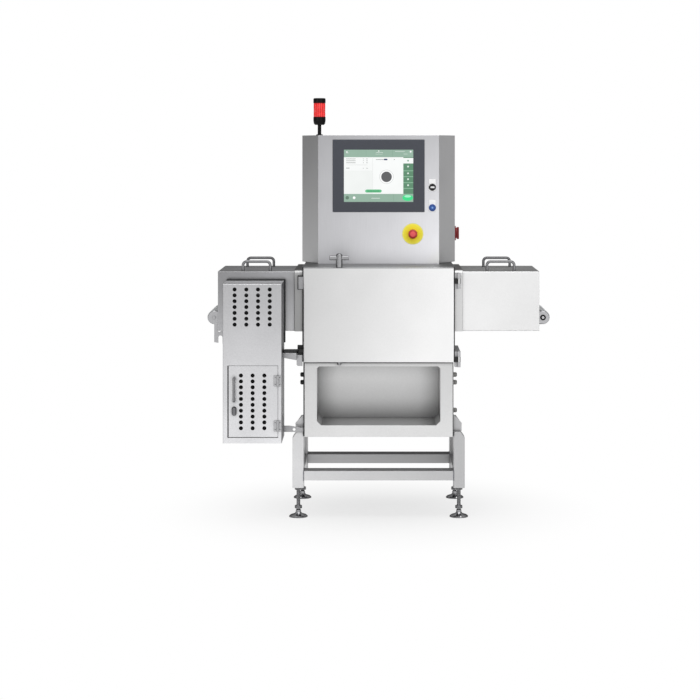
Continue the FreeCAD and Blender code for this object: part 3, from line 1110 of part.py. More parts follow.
def make_cabinet_door():
    wall = CABINET_SHEET
    left = CABINET_DOOR_LEFT_X
    right = CABINET_DOOR_RIGHT_X
    bottom = CABINET_DOOR_BOTTOM_Z
    top = bottom + CABINET_DOOR_HEIGHT
    door = block(left, right, CABINET_FRONT_Y, CABINET_FRONT_Y + DOOR_REBATE, bottom, top)
    cuts = [block(left + wall, right - wall, CABINET_FRONT_Y + wall, CABINET_FRONT_Y + DOOR_REBATE, bottom + wall,
                  top - wall)]
    for column in range(DOOR_VENT_COLUMNS):
        for row in range(DOOR_VENT_ROWS):
            x = DOOR_VENT_FIRST_X + column * VENT_PITCH_X
            z = DOOR_VENT_FIRST_Z + row * VENT_PITCH_Z
            cuts.append(rod((x, CABINET_FRONT_Y, z), (0, 1, 0), VENT_RADIUS, wall))
    cuts.append(rod((LATCH_X, CABINET_FRONT_Y, LATCH_Z), (0, 1, 0), LATCH_SPINDLE_RADIUS + PIN_CLEARANCE, wall))
    save("cabinet_door", door.cut(cuts))

    pull = bent_handle(
        0, 0, 0, PULL_HEIGHT - 2 * PULL_RADIUS, CABINET_HANDLE_PROUD - PULL_RADIUS, PULL_RADIUS, PULL_BEND)
    pull.rotate(V(0, 0, 0), V(1, 0, 0), 90)
    pull.rotate(V(0, 0, 0), V(0, 1, 0), 90)
    pull.translate(V(LATCH_X, CABINET_FRONT_Y, PULL_BOTTOM_Z + PULL_HEIGHT / 2))
    save("cabinet_pull_handle", pull)

    paddle = block(
        LATCH_X - LATCH_WIDTH / 2, LATCH_X + LATCH_WIDTH / 2, CABINET_FRONT_Y - LATCH_THICKNESS,
        CABINET_FRONT_Y - RUNNING_GAP, LATCH_Z - LATCH_HEIGHT / 2, LATCH_Z + LATCH_HEIGHT / 2)
    paddle = paddle.makeFillet(LATCH_WIDTH / 2 - 0.5, edges_along(paddle, (0, 1, 0)))
    spindle = rod(
        (LATCH_X, CABINET_FRONT_Y - 1, LATCH_Z), (0, 1, 0), LATCH_SPINDLE_RADIUS, LATCH_SPINDLE_LENGTH)
    tongue_y = CABINET_FRONT_Y + DOOR_REBATE + TONGUE_GAP
    tongue = block(
        LATCH_X - TONGUE_HALF_WIDTH, LATCH_X + TONGUE_HALF_WIDTH, tongue_y, tongue_y + TONGUE_THICKNESS,
        LATCH_Z - TONGUE_REACH, LATCH_Z + TONGUE_HALF_WIDTH)
    save("cabinet_latch", fuse(paddle, spindle, tongue))


def make_cabinet_hinges():
    fixed = []
    moving = []
    pins = []
    for bottom in CABINET_HINGE_BOTTOMS:
        top = bottom + CABINET_HINGE_HEIGHT
        third = CABINET_HINGE_HEIGHT / 3
        front = CABINET_FRONT_Y - CABINET_HINGE_LEAF
        bore = rod(
            (CABINET_HINGE_X, CABINET_HINGE_Y, bottom), (0, 0, 1), CABINET_PIN_RADIUS + PIN_CLEARANCE,
            CABINET_HINGE_HEIGHT)
        clear = CABINET_BARREL_RADIUS + 1
        gap_cut = rod(
            (CABINET_HINGE_X, CABINET_HINGE_Y, bottom + third - RUNNING_GAP), (0, 0, 1), clear,
            third + 2 * RUNNING_GAP)
        leaf = block(
            CABINET_HINGE_X + LEAF_SPLIT, CABINET_HINGE_X + CABINET_FIXED_LEAF_X, front, CABINET_FRONT_Y, bottom, top)
        leaf = leaf.cut(gap_cut)
        knuckles = [
            rod((CABINET_HINGE_X, CABINET_HINGE_Y, low), (0, 0, 1), CABINET_BARREL_RADIUS, third - RUNNING_GAP)
            for low in (bottom, bottom + 2 * third + RUNNING_GAP)]
        fixed.append(fuse(leaf, *knuckles).cut(bore))

        leaf = block(
            CABINET_HINGE_X - CABINET_DOOR_LEAF_X, CABINET_HINGE_X - LEAF_SPLIT, front, CABINET_FRONT_Y, bottom, top)
        ends = [rod((CABINET_HINGE_X, CABINET_HINGE_Y, low), (0, 0, 1), clear, third)
                for low in (bottom, bottom + 2 * third)]
        barrel = rod((CABINET_HINGE_X, CABINET_HINGE_Y, bottom + third), (0, 0, 1), CABINET_BARREL_RADIUS, third)
        moving.append(fuse(leaf.cut(ends), barrel).cut(bore))
        pin = rod((CABINET_HINGE_X, CABINET_HINGE_Y, bottom), (0, 0, 1), CABINET_PIN_RADIUS, CABINET_HINGE_HEIGHT)
        pins.append(pin)
    save("cabinet_hinge_leaves_fixed", *fixed, *pins)
    save("cabinet_hinge_leaves_door", *moving)


# Arms that carry the cabinet: a deep upper one that ends in a bar on the chamber's side, a flat drilled lower one
UPPER_ARM_TOP_Z = SIDE_BAR_TOP_Z - 1.0
UPPER_ARM_DEPTH = 150.0
UPPER_ARM_FRONT_Y = DOOR_Y - 36.0
UPPER_ARM_END_X = -CHAMBER_X - SIDE_BAR_WIDTH
UPPER_ARM_HEIGHT = 20.0
UPPER_ARM_RISE = 10.0
LOWER_ARM_DEPTH = 8.0
LOWER_ARM_HEIGHT = 26.0
LOWER_ARM_SETBACK = 8.0
LOWER_ARM_TOP_Z = CABINET_BOTTOM_Z + 48.5
LOWER_ARM_STEP = 8.0
LOWER_ARM_ROOT = 26.0
LOWER_ARM_TIP = 16.0
ARM_HOLE_RADIUS = 6.5
ARM_HOLE_X = CABINET_RIGHT_X + 45.0
ARM_HOLE_DROP = 16.0


def make_arms():
    top = UPPER_ARM_TOP_Z
    low = top - UPPER_ARM_HEIGHT
    outline = [
        (CABINET_RIGHT_X, top), (UPPER_ARM_END_X, top), (UPPER_ARM_END_X, low - UPPER_ARM_RISE),
        (CABINET_RIGHT_X, low),
    ]
    y1 = UPPER_ARM_FRONT_Y + UPPER_ARM_DEPTH
    upper = plate_xz(outline, UPPER_ARM_FRONT_Y, y1)
    bar = mirror_x(side_bar(CHAMBER_FRONT_Y + INTERLOCK_DEPTH + SEAM))

    top = LOWER_ARM_TOP_Z
    low = top - LOWER_ARM_HEIGHT
    step = top - LOWER_ARM_STEP
    y0 = BASE_FRONT_Y + LOWER_ARM_SETBACK
    lower = plate_xz([
        (CABINET_RIGHT_X, top), (CABINET_RIGHT_X + LOWER_ARM_ROOT, top), (-BASE_X - LOWER_ARM_TIP, step),
        (-BASE_X, step), (-BASE_X, low), (CABINET_RIGHT_X, low),
    ], y0, y0 + LOWER_ARM_DEPTH)
    hole = rod((ARM_HOLE_X, y0, top - ARM_HOLE_DROP), (0, 1, 0), ARM_HOLE_RADIUS, LOWER_ARM_DEPTH)
    save("cabinet_arms", fuse(upper, bar), lower.cut(hole))


# Cooling fan behind the upper vents, and the drive controller behind the cabinet door
FAN_SIZE = 120.0
FAN_DEPTH = 32.0
FAN_Z = CABINET_TOP_Z - 96.5
FAN_BLADES = 7
FAN_HUB_RADIUS = 20.0
FAN_BLADE_TIP = 54.0
FAN_RING_RADIUS = 57.0
FAN_CORNER = 6.0
FAN_SPIDER = 4.0
FAN_STRUT = 6.0
FAN_HUB_SETBACK = 5.0
BLADE_SETBACK = 7.0
BLADE_THICKNESS = 2.0
BLADE_CHORD = 26.0
BLADE_ANGLE = 28.0
BLADE_ROOT = 3.0


def make_fan():
    y0 = CABINET_FRONT_Y + CABINET_SHEET
    half = FAN_SIZE / 2
    frame = block(CABINET_CENTRE_X - half, CABINET_CENTRE_X + half, y0, y0 + FAN_DEPTH, FAN_Z - half, FAN_Z + half)
    frame = frame.makeFillet(FAN_CORNER, edges_along(frame, (0, 1, 0)))
    frame = frame.cut(rod((CABINET_CENTRE_X, y0, FAN_Z), (0, 1, 0), FAN_RING_RADIUS, FAN_DEPTH))
    back = y0 + FAN_DEPTH
    spider_y = back - FAN_SPIDER
    spider = [rod((CABINET_CENTRE_X, spider_y, FAN_Z), (0, 1, 0), FAN_HUB_RADIUS, FAN_SPIDER)]
    for turn in (45, 165, 285):
        strut = block(
            CABINET_CENTRE_X, CABINET_CENTRE_X + FAN_RING_RADIUS + 1, spider_y, back, FAN_Z - FAN_STRUT / 2,
            FAN_Z + FAN_STRUT / 2)
        strut.rotate(V(CABINET_CENTRE_X, back, FAN_Z), V(0, 1, 0), turn)
        spider.append(strut)
    save("fan_frame", fuse(frame, *spider))

    hub_front = y0 + FAN_HUB_SETBACK
    hub_back = spider_y - RUNNING_GAP
    blade_y = hub_front + BLADE_SETBACK
    hub = rod((CABINET_CENTRE_X, hub_front, FAN_Z), (0, 1, 0), FAN_HUB_RADIUS, hub_back - hub_front)
    blades = []
    for index in range(FAN_BLADES):
        blade = block(
            CABINET_CENTRE_X + FAN_HUB_RADIUS - BLADE_ROOT, CABINET_CENTRE_X + FAN_BLADE_TIP, blade_y,
            blade_y + BLADE_THICKNESS, FAN_Z - BLADE_CHORD / 2, FAN_Z + BLADE_CHORD / 2)
        blade.rotate(V(CABINET_CENTRE_X, blade_y + BLADE_THICKNESS / 2, FAN_Z), V(1, 0, 0), BLADE_ANGLE)
        blade.rotate(V(CABINET_CENTRE_X, hub_front, FAN_Z), V(0, 1, 0), 360 * index / FAN_BLADES)
        blades.append(blade)
    save("fan_rotor", fuse(hub, *blades))


CONTROLLER_WIDTH = 150.0
CONTROLLER_HEIGHT = 240.0
CONTROLLER_DEPTH = 110.0
CONTROLLER_BOTTOM_Z = CABINET_BOTTOM_Z + 51.5
CONTROLLER_FINS = 9
CONTROLLER_FIN_DEPTH = 30.0


def make_controller():
    x0 = CABINET_CENTRE_X - CONTROLLER_WIDTH / 2
    y1 = CABINET_REAR_Y - CABINET_SHEET
    y0 = y1 - CONTROLLER_DEPTH
    z1 = CONTROLLER_BOTTOM_Z + CONTROLLER_HEIGHT
    body = block(x0, x0 + CONTROLLER_WIDTH, y0, y1, CONTROLLER_BOTTOM_Z, z1)
    pitch = CONTROLLER_WIDTH / CONTROLLER_FINS
    slots = []
    for index in range(CONTROLLER_FINS - 1):
        x = x0 + pitch * (index + 0.75)
        slots.append(block(x, x + pitch / 2, y1 - CONTROLLER_FIN_DEPTH, y1, CONTROLLER_BOTTOM_Z, z1))
    save("drive_controller", body.cut(slots))


make_feet()
make_legs()
make_crossbars()
make_leg_brackets()
make_base()
make_glands()
make_chamber()
make_door()
make_door_hinges()
make_interlocks()
make_conveyor()
make_hook_brackets()
make_hoods()
make_head()
make_source()
make_display()
make_controls()
make_beacon()
make_main_switch()
make_cabinet_shell()
make_cabinet_door()
make_cabinet_hinges()
make_arms()
make_fan()
make_controller()
print(len(os.listdir("parts")), "files in parts")
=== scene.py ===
import math

import bmesh
import bpy
from mathutils import Matrix, Vector


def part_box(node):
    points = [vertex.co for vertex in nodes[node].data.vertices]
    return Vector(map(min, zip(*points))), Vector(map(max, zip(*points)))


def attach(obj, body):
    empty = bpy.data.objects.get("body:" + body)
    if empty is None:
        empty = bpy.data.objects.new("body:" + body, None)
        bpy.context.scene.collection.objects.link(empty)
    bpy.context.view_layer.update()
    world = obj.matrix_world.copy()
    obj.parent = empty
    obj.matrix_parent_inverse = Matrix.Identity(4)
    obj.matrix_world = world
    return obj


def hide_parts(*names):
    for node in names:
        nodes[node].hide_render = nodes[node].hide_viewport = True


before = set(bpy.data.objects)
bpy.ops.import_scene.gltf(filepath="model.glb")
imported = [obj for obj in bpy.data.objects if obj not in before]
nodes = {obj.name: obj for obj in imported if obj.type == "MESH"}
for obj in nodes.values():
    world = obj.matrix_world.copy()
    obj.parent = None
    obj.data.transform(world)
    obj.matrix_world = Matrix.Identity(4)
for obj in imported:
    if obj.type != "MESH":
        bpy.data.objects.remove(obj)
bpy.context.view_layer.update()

# Camera: level, on the machine's centre plane and far back, with a lens of about 100 mm.
# The horizon lies high in the picture, so the view is shifted down and a little to the left.
VIEW_DISTANCE = 8.3
VIEW_HEIGHT = 1.585
FOCAL_PIXELS = 1948.0
PICTURE_PIXELS = 700.0
CENTRE_PIXEL_X = 378.6
CENTRE_PIXEL_Y = 148.0
SENSOR_WIDTH = 36.0

door_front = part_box("front_door")[0].y

camera_data = bpy.data.cameras.new("camera")
camera_data.sensor_width = SENSOR_WIDTH
camera_data.lens = FOCAL_PIXELS / PICTURE_PIXELS * SENSOR_WIDTH
camera_data.shift_x = (PICTURE_PIXELS / 2 - CENTRE_PIXEL_X) / PICTURE_PIXELS
camera_data.shift_y = (CENTRE_PIXEL_Y - PICTURE_PIXELS / 2) / PICTURE_PIXELS
camera_data.clip_end = 200
camera = bpy.data.objects.new("camera", camera_data)
camera.location = (0, door_front - VIEW_DISTANCE, VIEW_HEIGHT)
camera.rotation_euler = (math.radians(90), 0, 0)
bpy.context.scene.collection.objects.link(camera)
bpy.context.scene.camera = camera
bpy.context.scene.view_settings.view_transform = "Standard"


# Studio floor: painted board, matt, with a faint sheen that gives the feet a weak mirror image.
# It keeps the machine's soft shadow, and fades to the plain white of the room further out.
FLOOR_SIZE = 60.0
FLOOR_WHITE = "#F4F4F4"
FLOOR_SHEEN = 0.07
NEAR_GLOW = 0.76
MIRRORED_GLOW = 0.55
SHADOW_REACH = 0.05
FADE_REACH = 1.05


def add_node(tree, kind, settings=None, links=None):
    """One shader node. Settings name its properties or its inputs, links join its inputs to other nodes' outputs."""
    node = tree.nodes.new(kind)
    for key, value in (settings or {}).items():
        if isinstance(key, str) and hasattr(node, key):
            setattr(node, key, value)
        else:
            node.inputs[key].default_value = value
    for key, output in (links or {}).items():
        tree.links.new(output, node.inputs[key])
    return node


def srgb(code):
    """A hex colour as linear red, green, blue and alpha."""
    shares = [int(code[start:start + 2], 16) / 255 for start in (1, 3, 5)]
    linear = [share / 12.92 if share <= 0.04045 else ((share + 0.055) / 1.055) ** 2.4 for share in shares]
    return (*linear, 1.0)


def blank_material(name):
    material = bpy.data.materials.new(name)
    material.use_nodes = True
    material.node_tree.nodes.clear()
    return material, material.node_tree


def new_object(name, build):
    """An object whose mesh build(shape) fills."""
    shape = bmesh.new()
    build(shape)
    mesh = bpy.data.meshes.new(name)
    shape.to_mesh(mesh)
    shape.free()
    piece = bpy.data.objects.new(name, mesh)
    bpy.context.scene.collection.objects.link(piece)
    return piece


def seen_rays(tree, *kinds):
    """1 for the named kinds of ray, 0 for the rest."""
    path = add_node(tree, "ShaderNodeLightPath")
    result = path.outputs[kinds[0]]
    for kind in kinds[1:]:
        result = add_node(tree, "ShaderNodeMath", {"operation": "MAXIMUM"}, {0: result, 1: path.outputs[kind]}).outputs[0]
    return result


def floor_board():
    material, tree = blank_material("painted_studio_board")
    place = add_node(tree, "ShaderNodeTexCoord")
    flat = add_node(tree, "ShaderNodeVectorMath", {"operation": "LENGTH"}, {0: place.outputs["Object"]})
    glow_share = add_node(tree, "ShaderNodeMapRange", {
        "interpolation_type": "SMOOTHSTEP", "From Min": SHADOW_REACH, "From Max": FADE_REACH, "To Min": NEAR_GLOW,
        "To Max": 1.0}, {"Value": flat.outputs["Value"]})
    mirrored = add_node(tree, "ShaderNodeMath", {"operation": "MULTIPLY", 1: MIRRORED_GLOW}, {
        0: seen_rays(tree, "Is Glossy Ray")})
    rays = add_node(tree, "ShaderNodeMath", {"operation": "MAXIMUM"}, {
        0: mirrored.outputs[0], 1: seen_rays(tree, "Is Camera Ray", "Is Transmission Ray")})
    seen = add_node(tree, "ShaderNodeMath", {"operation": "MULTIPLY"}, {
        0: glow_share.outputs[0], 1: rays.outputs[0]})
    matt = add_node(tree, "ShaderNodeBsdfDiffuse", {"Color": srgb(FLOOR_WHITE)})
    glow = add_node(tree, "ShaderNodeEmission", {"Color": (1, 1, 1, 1), "Strength": 1.0})
    white = add_node(tree, "ShaderNodeMixShader", {}, {0: seen.outputs[0], 1: matt.outputs[0], 2: glow.outputs[0]})
    gloss = add_node(tree, "ShaderNodeBsdfGlossy", {"Color": (1, 1, 1, 1), "Roughness": 0.12})
    sheen_share = add_node(tree, "ShaderNodeMapRange", {
        "From Min": NEAR_GLOW, "From Max": 1.0, "To Min": FLOOR_SHEEN, "To Max": 0.0}, {"Value": glow_share.outputs[0]})
    sheen = add_node(tree, "ShaderNodeMixShader", {}, {
        0: sheen_share.outputs[0], 1: white.outputs[0], 2: gloss.outputs[0]})
    add_node(tree, "ShaderNodeOutputMaterial", {}, {"Surface": sheen.outputs[0]})
    return material


floor = new_object("floor", lambda shape: bmesh.ops.create_grid(
    shape, x_segments=1, y_segments=1, size=FLOOR_SIZE / 2))
floor.data.materials.append(floor_board())


# Room: plain white where the camera sees it. What lights the machine is a studio that is bright in front and
# overhead and grey low down behind and at the sides, so tops and angled corners mirror grey and fronts mirror white.
ROOM_GREY = 0.12
SIDE_GREY = 0.16
FRONT_LIGHT = 0.90
FRONT_TILT = 0.22
TOP_LIGHT = 0.60

world = bpy.data.worlds.new("studio")
bpy.context.scene.world = world
world.use_nodes = True
room = world.node_tree
room.nodes.clear()
direction = add_node(room, "ShaderNodeSeparateXYZ", {}, {0: add_node(room, "ShaderNodeTexCoord").outputs["Generated"]})
forward = add_node(room, "ShaderNodeMath", {"operation": "MULTIPLY", 1: -1.0}, {0: direction.outputs["Y"]})
front_share = add_node(room, "ShaderNodeMapRange", {
    "interpolation_type": "SMOOTHSTEP", "From Min": 0.30, "From Max": 0.90}, {"Value": forward.outputs[0]})
top_share = add_node(room, "ShaderNodeMapRange", {
    "interpolation_type": "SMOOTHSTEP", "From Min": 0.35, "From Max": 0.85}, {"Value": direction.outputs["Z"]})
aside = add_node(room, "ShaderNodeMath", {"operation": "ABSOLUTE"}, {0: direction.outputs["X"]})
grey = add_node(room, "ShaderNodeMath", {"operation": "MULTIPLY_ADD", 1: SIDE_GREY, 2: ROOM_GREY}, {0: aside.outputs[0]})
front_level = add_node(room, "ShaderNodeMath", {
    "operation": "MULTIPLY_ADD", 1: FRONT_TILT, 2: FRONT_LIGHT}, {0: direction.outputs["X"]})
from_front = add_node(room, "ShaderNodeMix", {"data_type": "FLOAT"}, {
    0: front_share.outputs[0], 2: grey.outputs[0], 3: front_level.outputs[0]})
level = add_node(room, "ShaderNodeMix", {"data_type": "FLOAT", 3: TOP_LIGHT}, {
    0: top_share.outputs[0], 2: from_front.outputs[0]})
lit = add_node(room, "ShaderNodeBackground", {"Color": (1, 1, 1, 1)}, {"Strength": level.outputs[0]})
white = add_node(room, "ShaderNodeBackground", {"Color": (1, 1, 1, 1), "Strength": 1.0})
shown = add_node(room, "ShaderNodeMixShader", {}, {
    0: seen_rays(room, "Is Camera Ray", "Is Transmission Ray"), 1: lit.outputs[0], 2: white.outputs[0]})
add_node(room, "ShaderNodeOutputWorld", {}, {"Surface": shown.outputs[0]})


# Lamps: a big soft box at the front right, a weaker one at the front left and one overhead.
# (name, place, aimed at, width, watts)
LAMPS = (
    ("front_box", (3.6, -5.2, 2.7), (0.1, 0.0, 0.9), 5.0, 42.0),
    ("left_box", (-4.2, -4.6, 2.2), (0.0, 0.0, 0.9), 2.2, 30.0),
    ("top_box", (0.3, -0.9, 5.2), (0.0, 0.1, 0.0), 4.0, 110.0),
)

for name, place, aim, width, watts in LAMPS:
    lamp_data = bpy.data.lights.new(name, "AREA")
    lamp_data.size = width
    lamp_data.energy = watts
    lamp = bpy.data.objects.new(name, lamp_data)
    lamp.location = place
    lamp.rotation_euler = (Vector(aim) - Vector(place)).to_track_quat("-Z", "Y").to_euler()
    bpy.context.scene.collection.objects.link(lamp)


# Stand: legs and crossbars of rectangular stainless tube, mitred, welded and blasted with glass bead.
# The blast leaves 0.1 mm pits, too fine to show, so they are drawn 5 mm coarse, over clouds of 200 mm.
BLAST_PIT = 0.005
CLOUD_SIZE = 0.20
SHEET_EDGE = 0.0025
SEAM_REACH = 0.014
CORNER_LIGHT_CENTRE = (0.15, 0.5)


def own_place(tree, stretch=(1, 1, 1)):
    place = add_node(tree, "ShaderNodeTexCoord")
    return add_node(tree, "ShaderNodeMapping", {"Scale": stretch}, {"Vector": place.outputs["Object"]}).outputs[0]


def stainless(name, tone, roughness=0.36, stretch=(1, 1, 1), grain=BLAST_PIT, contrast=0.06, bump=0.05,
              edge=SHEET_EDGE, seam=SEAM_REACH, seam_shade=0.45, light_sweep=None, faces=(1, 1, 1), corner_light=0.0):
    """Stainless steel: a fine grain and broad clouds in colour and gloss, softened edges, and painted shade in its
    seams.

    Painted light and shade over the piece: light_sweep gives an axis its shares of the tone at both ends of the piece,
    faces the shares for faces that look along X, Y and Z, and corner_light lifts the tone towards the upper right
    corner.
    """
    material, tree = blank_material(name)
    fine = add_node(tree, "ShaderNodeTexNoise", {"Scale": 1 / grain, "Detail": 3.0, "Roughness": 0.6},
                    {"Vector": own_place(tree, stretch)})
    cloud = add_node(tree, "ShaderNodeTexNoise", {"Scale": 1 / CLOUD_SIZE, "Detail": 2.0}, {"Vector": own_place(tree)})
    both = add_node(tree, "ShaderNodeMath", {"operation": "ADD"}, {0: fine.outputs["Fac"], 1: cloud.outputs["Fac"]})
    base = srgb(tone)
    dark = (*[share * (1 - contrast) for share in base[:3]], 1)
    light = (*[min(1, share * (1 + contrast)) for share in base[:3]], 1)
    shade = add_node(tree, "ShaderNodeMapRange", {"From Min": 0.6, "From Max": 1.4}, {"Value": both.outputs[0]})
    colour = add_node(tree, "ShaderNodeMix", {"data_type": "RGBA", 6: dark, 7: light}, {0: shade.outputs[0]})
    # Painted shade: ambient occlusion darkens the colour in seams, corners and holes, down to seam_shade at most.
    crease = add_node(tree, "ShaderNodeAmbientOcclusion", {"samples": 6, "Distance": seam})
    painted_seam_shade = add_node(tree, "ShaderNodeMapRange", {
        "From Min": 0.3, "From Max": 0.95, "To Min": seam_shade, "To Max": 1.0}, {"Value": crease.outputs["AO"]})
    # Painted light and shade: the colour is scaled by the face's direction, by its place along each axis and across the
    # corners.
    place = add_node(tree, "ShaderNodeTexCoord")
    square = add_node(tree, "ShaderNodeVectorMath", {"operation": "MULTIPLY"}, {
        0: place.outputs["Normal"], 1: place.outputs["Normal"]})
    share = add_node(tree, "ShaderNodeVectorMath", {"operation": "DOT_PRODUCT", 1: faces}, {
        0: square.outputs[0]}).outputs["Value"]
    spot = add_node(tree, "ShaderNodeSeparateXYZ", {}, {0: place.outputs["Generated"]})
    for axis, (start, end) in (light_sweep or {}).items():
        along = add_node(tree, "ShaderNodeMapRange", {"To Min": start, "To Max": end}, {"Value": spot.outputs[axis]})
        share = add_node(tree, "ShaderNodeMath", {"operation": "MULTIPLY"}, {0: share, 1: along.outputs[0]}).outputs[0]
    if corner_light:
        across = add_node(tree, "ShaderNodeMath", {"operation": "SUBTRACT", 1: CORNER_LIGHT_CENTRE[0]}, {0: spot.outputs["X"]})
        upward = add_node(tree, "ShaderNodeMath", {"operation": "SUBTRACT", 1: CORNER_LIGHT_CENTRE[1]}, {0: spot.outputs["Z"]})
        corner = add_node(tree, "ShaderNodeMath", {"operation": "MULTIPLY"}, {0: across.outputs[0], 1: upward.outputs[0]})
        lift = add_node(tree, "ShaderNodeMath", {"operation": "MULTIPLY_ADD", 1: corner_light, 2: 1.0}, {0: corner.outputs[0]})
        share = add_node(tree, "ShaderNodeMath", {"operation": "MULTIPLY"}, {0: share, 1: lift.outputs[0]}).outputs[0]
    share = add_node(tree, "ShaderNodeMath", {"operation": "MULTIPLY"}, {0: share, 1: painted_seam_shade.outputs[0]}).outputs[0]
    shaded_colour = add_node(tree, "ShaderNodeMix", {"data_type": "RGBA", "blend_type": "MULTIPLY", 0: 1.0}, {
        6: colour.outputs[2], 7: share})
    gloss = add_node(tree, "ShaderNodeMapRange", {
        "From Min": 0.6, "From Max": 1.4, "To Min": roughness - 0.05, "To Max": roughness + 0.05},
        {"Value": both.outputs[0]})
    rounded = add_node(tree, "ShaderNodeBevel", {"samples": 4, "Radius": edge})
    relief = add_node(tree, "ShaderNodeBump", {"Strength": bump, "Distance": 0.001}, {
        "Height": fine.outputs["Fac"], "Normal": rounded.outputs[0]})
    metal = add_node(tree, "ShaderNodeBsdfPrincipled", {"Metallic": 1.0}, {
        "Base Color": shaded_colour.outputs[2], "Roughness": gloss.outputs[0], "Normal": relief.outputs[0]})
    add_node(tree, "ShaderNodeOutputMaterial", {}, {"Surface": metal.outputs[0]})
    return material


def dress(material, *names):
    """Gives CAD nodes a finish."""
    for name in names:
        for place in nodes[name].material_slots:
            place.material = material


# Painted shade: the legs and crossbars darken towards the right and towards the back, and the crossbars' tops are
# darker.
dress(stainless("blasted_stainless_tube", "#E0E0E1", light_sweep={"X": (1.04, 0.72), "Y": (1.0, 0.62)}), "legs", "leg_brackets")
dress(stainless("blasted_stainless_crossbar", "#DCDCDD", light_sweep={"X": (1.06, 0.76), "Y": (1.0, 0.66)},
                faces=(1, 1, 0.45)), "stand_crossbars")

# Weld beads where the crossbars meet the legs: a row of overlapping drops, left as welded and blued by the heat.
BEAD_RADIUS = 0.0024
BEAD_DROP = 0.004
BAR_BOTTOM = 0.162
BAR_TOP = 0.202
LEG_FACE_X = 0.321
BAR_YS = ((-0.192, -0.112), (0.265, 0.345))


def bead(shape, start, end):
    start = Vector(start)
    along = Vector(end) - start
    count = max(3, round(along.length / BEAD_DROP))
    for index in range(count + 1):
        centre = start + along * (index / count)
        turn = along.to_track_quat("Z", "Y").to_matrix().to_4x4()
        tilt = Matrix.Rotation(0.35, 4, "X")
        bmesh.ops.create_uvsphere(
            shape, u_segments=8, v_segments=6, radius=BEAD_RADIUS,
            matrix=Matrix.Translation(centre) @ turn @ tilt @ Matrix.Diagonal((1.0, 1.0, 0.8, 1.0)))


def crossbar_welds(shape):
    for side in (-1, 1):
        x = side * LEG_FACE_X
        for front, rear in BAR_YS:
            bead(shape, (x, front, BAR_TOP), (x, rear, BAR_TOP))
            bead(shape, (x, front, BAR_BOTTOM), (x, rear, BAR_BOTTOM))
            bead(shape, (x, rear if front > 0 else front, BAR_BOTTOM), (x, rear if front > 0 else front, BAR_TOP))


welds = new_object("crossbar_welds", crossbar_welds)
welds.data.materials.append(stainless("heat_blued_weld", "#9FA0A6", roughness=0.3, grain=0.006, contrast=0.25, bump=0.2))
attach(welds, "frame")


# Levelling feet: turned pads, threaded stems and lock nuts of polished stainless.
# The 2 mm thread is too fine to show, so its ridges are drawn 4 mm apart.
THREAD_PITCH = 0.004


def threaded_steel():
    material, tree = blank_material("polished_threaded_stainless")
    place = add_node(tree, "ShaderNodeSeparateXYZ", {}, {0: own_place(tree)})
    turn = add_node(tree, "ShaderNodeMath", {"operation": "MULTIPLY", 1: 2 * math.pi / THREAD_PITCH},
                    {0: place.outputs["Z"]})
    ridge = add_node(tree, "ShaderNodeMath", {"operation": "SINE"}, {0: turn.outputs[0]})
    relief = add_node(tree, "ShaderNodeBump", {"Strength": 0.6, "Distance": 0.0012}, {"Height": ridge.outputs[0]})
    # Painted shade and highlight: the thread's grooves are coloured dark and its ridges light.
    colour = add_node(tree, "ShaderNodeMix", {"data_type": "RGBA", 6: srgb("#3E3E40"), 7: srgb("#C6C6C8")},
                      {0: ridge.outputs[0]})
    metal = add_node(tree, "ShaderNodeBsdfPrincipled", {"Metallic": 1.0, "Roughness": 0.16}, {
        "Base Color": colour.outputs[2], "Normal": relief.outputs[0]})
    add_node(tree, "ShaderNodeOutputMaterial", {}, {"Surface": metal.outputs[0]})
    return material


dress(threaded_steel(), "foot_stems")
# Painted shade on the feet: the pads' sides and tops are darker than their fronts, with deep painted shade in their
# creases.
dress(stainless("polished_stainless_foot", "#A6A6A8", roughness=0.07, grain=0.02, bump=0.01, seam_shade=0.12,
                faces=(0.4, 1.1, 0.8)), "foot_pads")


# Base housing: folded stainless box with a front frame, and the alcove's liner let in behind it.
# Its inside corners and seams carry painted shade; the base's front darkens a little towards the top, and the alcove
# darkens towards its bottom and sides, all as painted shade.
dress(stainless("blasted_stainless_base", "#E3E3E3", light_sweep={"Z": (1.06, 0.92)}, seam=0.02, seam_shade=0.3), "base_housing")
dress(stainless("blasted_stainless_alcove", "#DFDFDF", seam=0.09, seam_shade=0.40, light_sweep={"Z": (0.64, 1.09)},
                faces=(0.80, 1, 1.22)), "alcove_liner")


